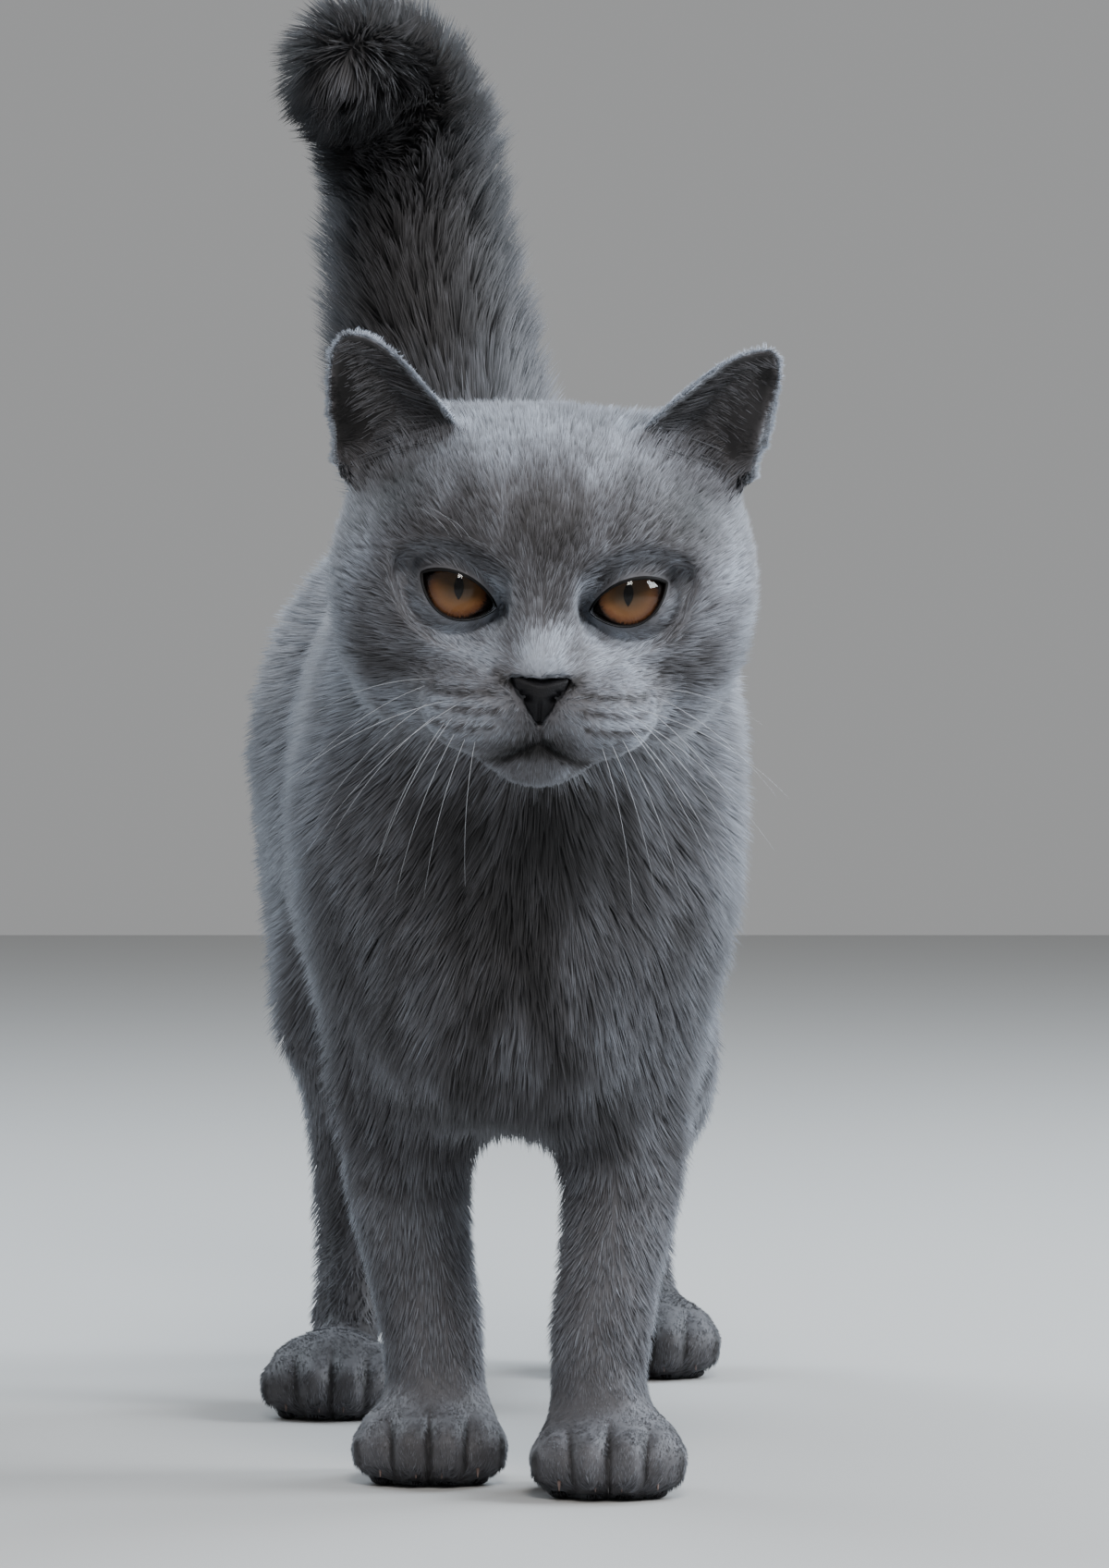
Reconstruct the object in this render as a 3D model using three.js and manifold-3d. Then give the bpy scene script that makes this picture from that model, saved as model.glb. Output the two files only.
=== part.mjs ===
// A young blue-grey short-haired cat, life size, standing square on and looking ahead,
// head a little lowered and tail raised with its tip curled forward.
// Millimetres, +Z up. The cat faces -Y and its left side is +X. The floor is z = 0.
// The solids reach out to the tips of the coat. The body is one smooth blend of simple
// shapes, wrapped in closed meshes and parted into its named lengths by thin cuts.
import * as THREE from 'three';
import { mergeVertices } from 'three/addons/utils/BufferGeometryUtils.js';
import Module from 'manifold-3d';

const wasm = await Module();
wasm.setup();

// ---------------------------------------------------------------- driving dimensions

const GAP = 0.3; // clear width of every cut between two pieces
const REACH = 130; // no surface is further than this from the axis inside it
const STEP = 1.5; // stride of the search for the surface
const SIDES = [['right', -1], ['left', 1]];

const HEAD = { centre: [-3, -12, 238], pitch: 14, roll: 2.4 };
const EYE = { spread: 21.6, forward: 30.6, height: 6.1, radius: 10.6 };
const FISSURE = { halfLength: 11.4, halfHeight: 6.4, depth: 9, slant: 20 };
const NOSE = { forward: 58.5, height: -12.5 };
const TRUNK_X = { chest: -10, ribs: -12, loin: -16, hips: -18 };

const material = (color, roughness) => new THREE.MeshStandardMaterial({ color, roughness, metalness: 0 });
const COAT = material(0x5f6066, 0.85);
const IRIS = material(0x9a5a24, 0.1);
const LEATHER = material(0x24242b, 0.5);

// ---------------------------------------------------------------- shapes and fields

const at = (x, y, z) => new THREE.Vector3(x, y, z);
const radians = THREE.MathUtils.degToRad;

// Places in the head are given as right-left, forward and up of its centre.
const headPlace = new THREE.Matrix4()
  .makeRotationFromEuler(new THREE.Euler(radians(HEAD.pitch), radians(HEAD.roll), 0))
  .setPosition(...HEAD.centre);
const inHead = (across, forward, up) => at(across, -forward, up).applyMatrix4(headPlace);

// An ellipsoid, turned about its own X, Y and Z by degrees and then placed.
function ball(centre, radii, options = {}) {
  const { turn = [0, 0, 0], place = new THREE.Matrix4(), blend = 12, carve = false } = options;
  const inverse = new THREE.Matrix4()
    .makeRotationFromEuler(new THREE.Euler(...turn.map(radians)))
    .setPosition(...centre)
    .premultiply(place)
    .invert();
  const near = new THREE.Vector3();
  const distance = (point) => {
    near.copy(point).applyMatrix4(inverse);
    const scaled = Math.hypot(near.x / radii[0], near.y / radii[1], near.z / radii[2]);
    const slope = Math.hypot(near.x / radii[0] ** 2, near.y / radii[1] ** 2, near.z / radii[2] ** 2);
    return slope < 1e-6 ? -Math.min(...radii) : (scaled * (scaled - 1)) / slope;
  };
  return { distance, blend, carve };
}

const headBall = (across, forward, up, radii, options = {}) =>
  ball([across, -forward, up], radii, { place: headPlace, ...options });

// A round bar between two points, of a different radius at each end.
function bar(start, startRadius, end, endRadius, blend = 12) {
  const along = end.clone().sub(start);
  const length = along.lengthSq();
  const offset = new THREE.Vector3();
  const distance = (point) => {
    offset.subVectors(point, start);
    const share = THREE.MathUtils.clamp(offset.dot(along) / length, 0, 1);
    offset.addScaledVector(along, -share);
    return offset.length() - THREE.MathUtils.lerp(startRadius, endRadius, share);
  };
  return { distance, blend, carve: false };
}

// A chain of bars through a list of [x, y, z, radius] joints.
const chain = (joints, blend) => joints.slice(1).map((joint, index) => {
  const before = joints[index];
  return bar(at(...before), before[3], at(...joint), joint[3], blend);
});

// Signed distance to the smooth blend of many shapes: below zero is inside.
function fieldOf(shapes) {
  return (point) => shapes.reduce((sum, { distance, blend, carve }) => {
    const sign = carve ? -1 : 1;
    const near = distance(point);
    const share = THREE.MathUtils.clamp(0.5 + (sign * (sum - sign * near)) / (2 * blend), 0, 1);
    return THREE.MathUtils.lerp(sum, sign * near, share) - sign * blend * share * (1 - share);
  }, 1000);
}

// ---------------------------------------------------------------- meshes and solids

const curve = (...points) => new THREE.CatmullRomCurve3(points, false, 'centripetal');

// A closed capsule mesh drawn over the field: every vertex goes straight out from the axis
// to where the field reaches the level.
function wrap(axis, field, { sides, rings, caps, level = 0 }) {
  const geometry = bare(new THREE.CapsuleGeometry(1, 1, caps, sides, rings));
  const vertices = geometry.attributes.position;
  const [side, tangent, lift, out, point] = Array.from({ length: 5 }, () => new THREE.Vector3());
  for (let index = 0; index < vertices.count; index += 1) {
    const height = vertices.getY(index);
    const share = THREE.MathUtils.clamp(height + 0.5, 0, 1);
    axis.getTangent(share, tangent);
    side.set(1, 0, 0).addScaledVector(tangent, -tangent.x).normalize();
    lift.crossVectors(side, tangent);
    out.set(0, 0, 0)
      .addScaledVector(side, vertices.getX(index))
      .addScaledVector(tangent, height - (share - 0.5))
      .addScaledVector(lift, vertices.getZ(index))
      .normalize();
    const start = axis.getPoint(share);
    const travel = surfaceDistance(start, out, (place) => field(place) - level);
    point.copy(start).addScaledVector(out, travel);
    vertices.setXYZ(index, point.x, point.y, point.z);
  }
  return geometry;
}

function surfaceDistance(start, out, field) {
  const point = new THREE.Vector3();
  const value = (travel) => field(point.copy(start).addScaledVector(out, travel));
  let outside = STEP;
  while (outside < REACH && value(outside) < 0) outside += STEP;
  let inside = outside - STEP;
  for (let halving = 0; halving < 12; halving += 1) {
    const middle = (inside + outside) / 2;
    if (value(middle) < 0) inside = middle;
    else outside = middle;
  }
  return inside;
}

function bare(geometry) {
  geometry.deleteAttribute('normal');
  geometry.deleteAttribute('uv');
  return mergeVertices(geometry, 1e-4);
}

function solid(geometry) {
  return new wasm.Manifold(new wasm.Mesh({
    numProp: 3,
    vertProperties: new Float32Array(geometry.attributes.position.array),
    triVerts: new Uint32Array(geometry.index.array),
  }));
}

// The half of space in front of a plane, kept back from it by half the gap.
function half(point, normal) {
  const size = 2000;
  const box = bare(new THREE.BoxGeometry(size, size, size));
  box.translate(0, 0, size / 2 + GAP / 2);
  box.applyQuaternion(new THREE.Quaternion().setFromUnitVectors(at(0, 0, 1), normal));
  box.translate(point.x, point.y, point.z);
  return solid(box);
}

class Cut {
  constructor(point, normal) {
    this.point = point;
    this.normal = normal.clone().normalize();
  }

  front() {
    return half(this.point, this.normal);
  }

  back() {
    return half(this.point, this.normal.clone().negate());
  }
}

function mesh(name, body, look) {
  const { vertProperties, triVerts } = body.getMesh();
  const geometry = new THREE.BufferGeometry();
  geometry.setAttribute('position', new THREE.BufferAttribute(new Float32Array(vertProperties), 3));
  geometry.setIndex(new THREE.BufferAttribute(new Uint32Array(triVerts), 1));
  geometry.computeVertexNormals();
  const piece = new THREE.Mesh(geometry, look);
  piece.name = name;
  return piece;
}

// ---------------------------------------------------------------- anatomy

// Joints of each limb: place and the radius of limb and coat there.
const FORE = {
  right: [
    [-36.5, 44, 128, 23.5], [-41, 50, 98, 19.6], [-38.6, 50, 72, 15],
    [-33.3, 52, 44, 13.1], [-31, 50, 27, 13.6],
  ],
  left: [
    [18.5, 40, 128, 23.5], [20.4, 42, 98, 19], [16.9, 32, 72, 14.4],
    [12.4, 22, 44, 12.6], [11, 18, 27, 13.2],
  ],
};
const HIND = {
  right: [
    [-48, 255, 150, 31], [-57, 238, 114, 23], [-55, 264, 83, 15],
    [-56, 275, 62, 13], [-59, 246, 26, 12.5],
  ],
  left: [
    [14, 288, 150, 30], [24.5, 286, 100, 23], [27.5, 324, 82, 18.5],
    [24.5, 376, 63, 13], [25, 360, 26, 12],
  ],
};
// The back of the thigh, from the seat to above the hock.
const HAM = {
  right: [[-44, 290, 168, 28], [-54, 274, 122, 23], [-55, 272, 84, 13.5]],
  left: [[10, 308, 168, 28], [21, 322, 124, 23], [25, 356, 82, 13.5]],
};
const FORE_PAW = { right: [-33, 40], left: [14, 7] };
const HIND_PAW = { right: [-63, 214], left: [29, 336] };
const TAIL = [
  [-18, 300, 236, 34], [-22, 338, 250, 32], [-30, 366, 276, 32], [-37, 377, 308, 31], [-41, 376, 338, 28.5],
  [-43, 367, 366, 26.5], [-50, 350, 383, 25], [-58, 331, 389, 20], [-61.5, 321, 387, 19],
];

function trunkShapes() {
  return [
    ball([TRUNK_X.ribs, 112, 187], [60, 98, 76], { blend: 20 }),
    ball([TRUNK_X.chest, 38, 172], [53, 66, 76], { turn: [12, 0, 0], blend: 20 }),
    ball([TRUNK_X.chest - 2, 14, 134], [38, 36, 42], { blend: 20 }),
    ball([TRUNK_X.loin, 205, 190], [70, 92, 74], { blend: 20 }),
    ball([TRUNK_X.hips, 276, 194], [57, 66, 66], { blend: 20 }),
    ...SIDES.map(([, side]) =>
      ball([TRUNK_X.chest + side * 37, 44, 168], [24, 42, 58], { turn: [18, 0, 0], blend: 14 })),
    ball([TRUNK_X.hips - 36, 252, 164], [30, 52, 60], { blend: 14 }),
    ball([TRUNK_X.hips + 37, 284, 160], [27, 50, 56], { blend: 14 }),
  ];
}

const neckShapes = () => [
  bar(at(-7, 62, 208), 53, at(-4, 12, 228), 46, 18),
  bar(at(-9, 22, 176), 48, at(-4, -8, 216), 36, 18),
];

function headShapes() {
  const pair = (make) => SIDES.map(([, side]) => make(side));
  return [
    headBall(0, -2, 8, [55.5, 50, 39.5], { blend: 16 }),
    headBall(0, 22, 20, [35, 24, 22], { blend: 14 }),
    ...pair((side) => headBall(side * 30, -11, 34.5, [14, 9, 12], { blend: 8 })),
    ...pair((side) => headBall(side * 26, 6, -7, [30, 34, 32], { blend: 10 })),
    ...pair((side) => headBall(side * 23, 4, -23, [24, 28, 18.5], { blend: 8 })),
    headBall(0, 10, -24, [36, 34, 20], { blend: 10 }),
    headBall(0, 36, -19, [26, 22, 17], { blend: 10 }),
    bar(inHead(0, 34, 10), 10, inHead(0, 51, -8), 8.5, 8),
    ...pair((side) => bar(inHead(side * 14, 38, 17), 7, inHead(side * 31, 31, 15), 7, 8)),
    ...pair((side) => headBall(side * 20.5, 47, 5, [10.5, 8, 6.5], { blend: 5, carve: true })),
    ...pair((side) => headBall(side * 13.5, 45, -22.5, [15.5, 14, 11.5], { blend: 5 })),
    headBall(0, 43, -34, [14, 13, 9.5], { blend: 5 }),
  ];
}

function pawShapes([x, y], toeLength) {
  const toes = [[-14, 3, 9], [-5.2, -2, 9.6], [5.2, -2, 9.6], [14, 3, 9]];
  return [
    ball([x, y + 6, 12], [18.5, 24, 13], { blend: 6 }),
    ...toes.map(([across, back, radius]) =>
      bar(at(x + across * 0.8, y + 4, 12), radius, at(x + across, y - toeLength + back, 9), radius, 2.5)),
  ];
}

const TOE_REACH = { fore: 15, hind: 14 };
const headField = fieldOf(headShapes());
const bodyField = fieldOf([
  ...trunkShapes(),
  ...neckShapes(),
  ...chain(TAIL, 6),
  ...SIDES.flatMap(([name]) => [...chain(FORE[name], 10), ...chain(HIND[name], 12), ...chain(HAM[name], 12)]),
]);
const LEGS = {
  fore: (name) => chain(FORE[name], 10),
  hind: (name) => [...chain(HIND[name], 12), ...chain(HAM[name], 12)],
};

// ---------------------------------------------------------------- cuts between the lengths

const cuts = {
  neck: new Cut(at(-6, 38, 222), at(0, -0.76, 0.65)),
  waist: new Cut(at(-13, 150, 180), at(0, -1, 0)),
  forelegs: new Cut(at(0, 40, 92), at(0, 0, 1)),
  hindlegs: new Cut(at(0, 225, 110), at(0, -0.36, 0.93)),
  forePaws: new Cut(at(0, 40, 30), at(0, 0, 1)),
  hindPaws: new Cut(at(0, 240, 27), at(0, 0, 1)),
  tailRoot: new Cut(at(-19, 326, 246), at(0, -0.93, -0.36)),
  tailLow: new Cut(at(-34, 373, 293), at(0.2, -0.3, -0.93)),
  tailHigh: new Cut(at(-42.5, 372, 350), at(0.14, 0.3, -0.94)),
};
const front = (cut) => ({ cut, facing: 'front' });
const back = (cut) => ({ cut, facing: 'back' });
const floor = half(at(0, 0, -GAP / 2), at(0, 0, 1));

// The field closed off a little beyond the cuts that end a piece, so that its mesh stops there.
function within(field, planes) {
  const slack = 12;
  const offset = new THREE.Vector3();
  return (point) => planes.reduce((nearest, { cut, facing }) => {
    const depth = offset.subVectors(point, cut.point).dot(cut.normal);
    return Math.max(nearest, (facing === 'front' ? -depth : depth) - slack);
  }, field(point));
}

function length(field, axis, planes, detail) {
  const whole = solid(wrap(axis, within(field, planes), detail));
  return planes.reduce((kept, { cut, facing }) => kept.intersect(cut[facing]()), whole);
}

// ---------------------------------------------------------------- head

const eyeCentre = (side) => inHead(side * EYE.spread, EYE.forward, EYE.height);

function eyeball(side, radius) {
  const geometry = bare(new THREE.SphereGeometry(radius, 12, 8));
  const centre = eyeCentre(side);
  return solid(geometry.translate(centre.x, centre.y, centre.z));
}

// The opening between the lids, an almond that slants up and out.
function fissure(side) {
  const geometry = bare(new THREE.SphereGeometry(1, 16, 8));
  geometry.scale(FISSURE.halfLength, FISSURE.depth, FISSURE.halfHeight);
  geometry.rotateY(radians(-side * FISSURE.slant));
  geometry.translate(side * (EYE.spread - 0.4), -(EYE.forward + EYE.radius + 1), EYE.height - 1.2);
  geometry.applyMatrix4(headPlace);
  return solid(geometry);
}

const inNose = (across, forward, up) => inHead(across, NOSE.forward + forward, NOSE.height + up);
const noseField = fieldOf([
  bar(inNose(-5.2, -3, 0), 3.6, inNose(5.2, -3, 0), 3.6, 2),
  bar(inNose(0, -1.5, -0.5), 4, inNose(0, -4.5, -9.5), 2.4, 2),
]);
const noseAxis = curve(inNose(0, -5, 0), inNose(0, -3, -2));
const noseSolid = (level) => solid(wrap(noseAxis, noseField, { sides: 12, rings: 1, caps: 4, level }));

const skullAxis = curve(inHead(0, -8, 2), inHead(0, 12, -4));
const skullSolid = (detail) => solid(wrap(skullAxis, headField, detail));

function headSolid() {
  return SIDES
    .reduce((kept, [, side]) => kept.subtract(fissure(side)).subtract(eyeball(side, EYE.radius + GAP)),
      skullSolid({ sides: 32, rings: 2, caps: 12 }))
    .subtract(noseSolid(GAP));
}

// An ear is a cupped blade between an outer and an inner edge that meet at the tip.
// The edges are given across, forward and up in the head.
const EAR = {
  outer: [[52, 2, 4], [56, 1, 24], [58.8, -2, 42], [60.8, -4, 55], [60.5, -5, 63]],
  inner: [[7, 12, 25], [18, 12, 37.5], [31, 6.5, 50], [42, 0, 60], [49, -5, 65.5]],
  lean: 1.5,
  bow: { right: 0, left: 3.5 },
  cup: 15,
  wall: 3.2,
  facing: [0.35, 1, -0.1],
};

function earSolid(name, side) {
  const edge = (points) => curve(...points.map(([across, forward, up]) => {
    const rise = up / EAR.outer.at(-1)[2];
    const bow = EAR.bow[name] * 4 * rise * (1 - rise);
    return inHead(side * across + EAR.lean * rise - side * bow, forward, up);
  }));
  const [outer, inner] = [edge(EAR.outer), edge(EAR.inner)];
  const [across, forward, up] = EAR.facing;
  const behind = inHead(0, 0, 0).sub(inHead(side * across, forward, up)).normalize();
  const geometry = bare(new THREE.CapsuleGeometry(1, 1, 3, 12, 7));
  const vertices = geometry.attributes.position;
  for (let index = 0; index < vertices.count; index += 1) {
    const share = THREE.MathUtils.clamp((vertices.getY(index) + 1.5) / 3, 0, 1);
    const spread = vertices.getX(index);
    const [edgeOut, edgeIn] = [outer.getPoint(share), inner.getPoint(share)];
    const halfWidth = edgeOut.clone().sub(edgeIn).multiplyScalar(0.5);
    const hollow = EAR.cup * (1 - spread ** 2) * (1 - share ** 2);
    const skin = (EAR.wall / 2) * (1 - 0.5 * share) * side * vertices.getZ(index);
    const point = edgeIn.add(edgeOut).multiplyScalar(0.5)
      .addScaledVector(halfWidth, spread)
      .addScaledVector(behind, hollow - skin);
    vertices.setXYZ(index, point.x, point.y, point.z);
  }
  return solid(geometry);
}

// ---------------------------------------------------------------- the cat

const cat = new THREE.Group();
cat.add(mesh('head', headSolid(), COAT));
cat.add(mesh('nose', noseSolid(0), LEATHER));
// The skull a little swollen, to cut what meets the head.
const skullRoom = skullSolid({ sides: 32, rings: 2, caps: 12, level: 0.6 });
SIDES.forEach(([name, side]) => {
  cat.add(mesh(`eye_${name}`, eyeball(side, EYE.radius), IRIS));
  cat.add(mesh(`ear_${name}`, earSolid(name, side).subtract(skullRoom), COAT));
});

// The neck and the lengths of the trunk: name, axis from end to end, and the cuts that bound them.
const trunkLengths = [
  ['neck', [at(-6, 40, 216), at(-5, 16, 226)], [front(cuts.neck)]],
  ['trunk_front', [at(TRUNK_X.chest, 34, 158), at(TRUNK_X.ribs, 130, 184)],
    [back(cuts.neck), front(cuts.waist), front(cuts.forelegs)]],
  ['trunk_rear', [at(TRUNK_X.ribs, 170, 186), at(TRUNK_X.hips, 280, 190)],
    [back(cuts.waist), front(cuts.hindlegs), front(cuts.tailRoot)]],
];
trunkLengths.forEach(([name, ends, planes]) => {
  const part = length(bodyField, curve(...ends), planes, { sides: 22, rings: 6, caps: 5 });
  cat.add(mesh(name, part.subtract(skullRoom), COAT));
});

// The axis of a limb or of a length of tail, from one of its joints to another.
const along = (joints, first, last) =>
  curve(...joints.slice(first, last + 1).map(([x, y, z]) => at(x, y, z)));

const tailLengths = [
  ['tail_root', 1, 2, [back(cuts.tailRoot), front(cuts.tailLow)]],
  ['tail_middle', 3, 4, [back(cuts.tailLow), front(cuts.tailHigh)]],
  ['tail_tip', 5, 8, [back(cuts.tailHigh)]],
];
const tailField = fieldOf(chain(TAIL, 6));
tailLengths.forEach(([name, first, last, planes]) => {
  const part = length(name === 'tail_root' ? bodyField : tailField, along(TAIL, first, last), planes,
    { sides: 14, rings: 3, caps: 3 });
  cat.add(mesh(name, part, COAT));
});

const PAW_AXIS = { back: 16, front: -6, height: 12 };
const pawAxis = ([x, y]) =>
  curve(at(x, y + PAW_AXIS.back, PAW_AXIS.height), at(x, y + PAW_AXIS.front, PAW_AXIS.height));
const limbs = [
  ['fore', FORE, FORE_PAW, cuts.forelegs, cuts.forePaws],
  ['hind', HIND, HIND_PAW, cuts.hindlegs, cuts.hindPaws],
];
limbs.forEach(([end, joints, places, legCut, pawCut]) => SIDES.forEach(([name]) => {
  const shapes = LEGS[end](name);
  const leg = length(fieldOf(shapes), along(joints[name], 1, 4), [back(legCut), front(pawCut)],
    { sides: 14, rings: 7, caps: 3 });
  cat.add(mesh(`${end}_leg_${name}`, leg, COAT));
  const field = fieldOf([...shapes, ...pawShapes(places[name], TOE_REACH[end])]);
  const paw = length(field, pawAxis(places[name]), [back(pawCut)], { sides: 18, rings: 3, caps: 4 });
  cat.add(mesh(`${end}_paw_${name}`, paw.intersect(floor), COAT));
}));

// The origin is under the middle of the whole cat.
const bounds = new THREE.Box3().setFromObject(cat);
const middle = bounds.getCenter(new THREE.Vector3());
cat.position.set(-middle.x, -middle.y, -bounds.min.z);

export default cat;
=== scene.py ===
# A young blue-grey short-haired cat: skin, coat, eyes, nose, whiskers, claws and pads over the
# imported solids. Metres, +Z up. The cat faces -Y, and its left is +X. Sizes are written in
# millimetres and multiplied by MM, unless a comment says otherwise.
import math

import bmesh
import bpy
import numpy as np
from mathutils import Matrix, Vector
from mathutils.bvhtree import BVHTree
from mathutils.kdtree import KDTree


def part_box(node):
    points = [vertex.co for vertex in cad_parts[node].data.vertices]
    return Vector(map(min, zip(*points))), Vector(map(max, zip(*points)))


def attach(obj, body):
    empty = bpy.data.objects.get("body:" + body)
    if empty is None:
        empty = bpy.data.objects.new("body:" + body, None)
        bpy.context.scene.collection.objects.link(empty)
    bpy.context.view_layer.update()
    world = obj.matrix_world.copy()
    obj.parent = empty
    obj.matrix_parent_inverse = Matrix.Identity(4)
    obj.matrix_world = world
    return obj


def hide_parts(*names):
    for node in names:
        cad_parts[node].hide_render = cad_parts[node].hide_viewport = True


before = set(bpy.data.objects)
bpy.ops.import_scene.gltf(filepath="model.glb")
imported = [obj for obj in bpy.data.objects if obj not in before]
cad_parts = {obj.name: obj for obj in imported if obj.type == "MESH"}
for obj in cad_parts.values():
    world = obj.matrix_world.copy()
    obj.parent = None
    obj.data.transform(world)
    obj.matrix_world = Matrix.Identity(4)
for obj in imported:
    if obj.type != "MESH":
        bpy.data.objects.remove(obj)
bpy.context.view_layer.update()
MM = 0.001
SIDES = {"right": -1, "left": 1}
rng = np.random.default_rng(20)
thin = 1.0


# ---- small numeric helpers

def unit(v):
    return v / np.maximum(np.linalg.norm(v, axis=-1, keepdims=True), 1e-12)


def flattened(ways, normals):
    """The ways without their part along the normals, at unit length."""
    return unit(ways - normals * (ways * normals).sum(axis=1, keepdims=True))


def smooth(x, low, high):
    """0 below low, 1 above high, and an S curve between them."""
    t = np.clip((np.asarray(x, float) - low) / (high - low), 0, 1)
    return t * t * (3 - 2 * t)


def mix(a, b, t):
    return a + (b - a) * t


def bell(x, middle, width):
    return np.exp(-((np.asarray(x, float) - middle) / width) ** 2)


def lattice(i, j, k, seed):
    """A repeatable random number from 0 to 1 at each lattice point, from a mixing of bits."""
    h = (i * 374761393 + j * 668265263 + k * 2147483647 + seed * 974711) & 0xFFFFFFFF
    h = ((h ^ (h >> 13)) * 1274126177) & 0xFFFFFFFF
    h = ((h ^ (h >> 16)) * 2246822519) & 0xFFFFFFFF
    return ((h ^ (h >> 15)) & 0xFFFFFF) / 0xFFFFFF


def noise(points, scale, seed=0):
    """Smooth value noise from -1 to 1, with bumps about scale across."""
    p = points / scale + 100.0
    cell = np.floor(p).astype(np.int64)
    t = p - cell
    t = t * t * (3 - 2 * t)
    total = np.zeros(len(points))
    for corner in range(8):
        step = np.array([corner & 1, (corner >> 1) & 1, (corner >> 2) & 1])
        weight = np.prod(np.where(step, t, 1 - t), axis=1)
        total += weight * lattice(*(cell + step).T, seed)
    return total * 2 - 1


def noise_vector(points, scale, seed=0):
    return np.stack([noise(points, scale, seed + axis) for axis in range(3)], axis=1)


def tree_of(points):
    tree = KDTree(len(points))
    for index, place in enumerate(points.tolist()):
        tree.insert(place, index)
    tree.balance()
    return tree


def nearest_of(points, places):
    """For each place, the index of the nearest of the points."""
    tree = tree_of(points)
    return np.array([tree.find(place)[1] for place in places.tolist()])


# ---- the head's own frame

HEAD_PITCH, HEAD_ROLL = math.radians(14), math.radians(2.4)
HEAD_IN_DRAWING = np.array([-3, -12, 238])  # the head's middle in the drawing, mm
EYE_FORWARD, EYE_UP, EYE_RADIUS = 30.6, 6.1, 10.6

head_turn = np.array(Matrix.Rotation(HEAD_PITCH, 3, "X") @ Matrix.Rotation(HEAD_ROLL, 3, "Y"))
eye_middle = {name: np.mean(np.array(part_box(f"eye_{name}")), axis=0) for name in SIDES}
between_eyes = (eye_middle["right"] + eye_middle["left"]) / 2
head_middle = between_eyes - head_turn @ np.array([0, -EYE_FORWARD, EYE_UP]) * MM
DRAWING = head_middle / MM - HEAD_IN_DRAWING  # the drawing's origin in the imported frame, mm


def in_head(points):
    """Places of points given across (+ is the cat's left), forward and up of the head's middle, in mm."""
    p = np.atleast_2d(np.asarray(points, float)) * [1, -1, 1]
    return p @ head_turn.T * MM + head_middle


def to_head(points):
    """Across, forward and up of the head's middle, in mm."""
    return ((points - head_middle) / MM) @ head_turn * [1, -1, 1]


def head_vector(across, forward, up):
    return head_turn @ np.array([across, -forward, up])


# The eyes don't pitch with the head: their gaze is level.

def eye_axes(side):
    """The eye's own axes: away from the nose, up, and out along the gaze."""
    outward = SIDES[side] * np.array([math.cos(HEAD_ROLL), 0, -math.sin(HEAD_ROLL)])
    upward = np.array([math.sin(HEAD_ROLL), 0, math.cos(HEAD_ROLL)])
    return np.array([outward, upward, [0, -1, 0]])


def to_eye(side, points):
    """Away from the nose, up and out along the gaze from the eye's middle, in mm."""
    return (points - eye_middle[side]) / MM @ eye_axes(side).T


def in_eye(side, local):
    """The way back from to_eye."""
    return eye_middle[side] + local @ eye_axes(side) * MM


def from_eyes(points):
    """Distance to the middle of the nearer eye, in mm."""
    return np.minimum(*[np.linalg.norm(points - eye_middle[side], axis=1) / MM for side in SIDES])


def beside_eyes(points):
    """Distance from the nearer eye's line of gaze, in mm, in front of that eye's middle."""
    far = 99
    gaps = []
    for side in SIDES:
        u, v, w = to_eye(side, points).T
        gaps.append(np.where(w > -1, np.hypot(u, v), far))
    return np.minimum(*gaps)


# ---- camera

CAMERA_PLACE = np.array([0, -2350, 255])  # in the drawing, mm
CAMERA_DOWN = 1.687  # degrees below level
CAMERA_LENS = 207.5

camera = bpy.data.objects.new("camera", bpy.data.cameras.new("camera"))
bpy.context.scene.collection.objects.link(camera)
camera.data.lens = CAMERA_LENS
camera.data.sensor_width = 36
camera.location = (CAMERA_PLACE + DRAWING) * MM
camera.rotation_euler = (math.radians(90 - CAMERA_DOWN), 0, 0)
bpy.context.scene.camera = camera


# ---- objects and meshes

def read(items, name, width, kind=float):
    """One number or vector from each item of a mesh's collection, as rows."""
    values = np.empty(len(items) * width, kind)
    items.foreach_get(name, values)
    return values.reshape(-1, width)


def new_object(name, mesh, material=None):
    obj = bpy.data.objects.new(name, mesh)
    bpy.context.scene.collection.objects.link(obj)
    if material:
        mesh.materials.append(material)
    return obj


def mesh_of(name, vertices, faces, soft=True):
    mesh = bpy.data.meshes.new(name)
    mesh.from_pydata(np.asarray(vertices).tolist(), [], [list(f) for f in faces])
    mesh.update()
    if soft:
        mesh.shade_smooth()
    return mesh


def joined(parts):
    """One list of vertices and faces from many."""
    vertices, faces, start = [], [], 0
    for co, polygons in parts:
        vertices.append(np.asarray(co))
        faces += [tuple(int(i) + start for i in polygon) for polygon in polygons]
        start += len(co)
    return np.concatenate(vertices), faces


def welded(node):
    """Vertices, triangles and vertex normals of a CAD node, with its doubled vertices joined."""
    bm = bmesh.new()
    bm.from_mesh(node.data)
    bmesh.ops.remove_doubles(bm, verts=bm.verts, dist=0.01 * MM)
    bmesh.ops.triangulate(bm, faces=bm.faces)
    bm.normal_update()
    vertices = np.array([v.co for v in bm.verts])
    normals = np.array([v.normal for v in bm.verts])
    faces = np.array([[v.index for v in f.verts] for f in bm.faces])
    bm.free()
    return vertices, faces, normals


def applied(piece):
    """The piece's mesh with its modifiers applied. The piece itself is removed."""
    graph = bpy.context.evaluated_depsgraph_get()
    mesh = bpy.data.meshes.new_from_object(piece.evaluated_get(graph))
    bpy.data.objects.remove(piece)
    return mesh


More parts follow.
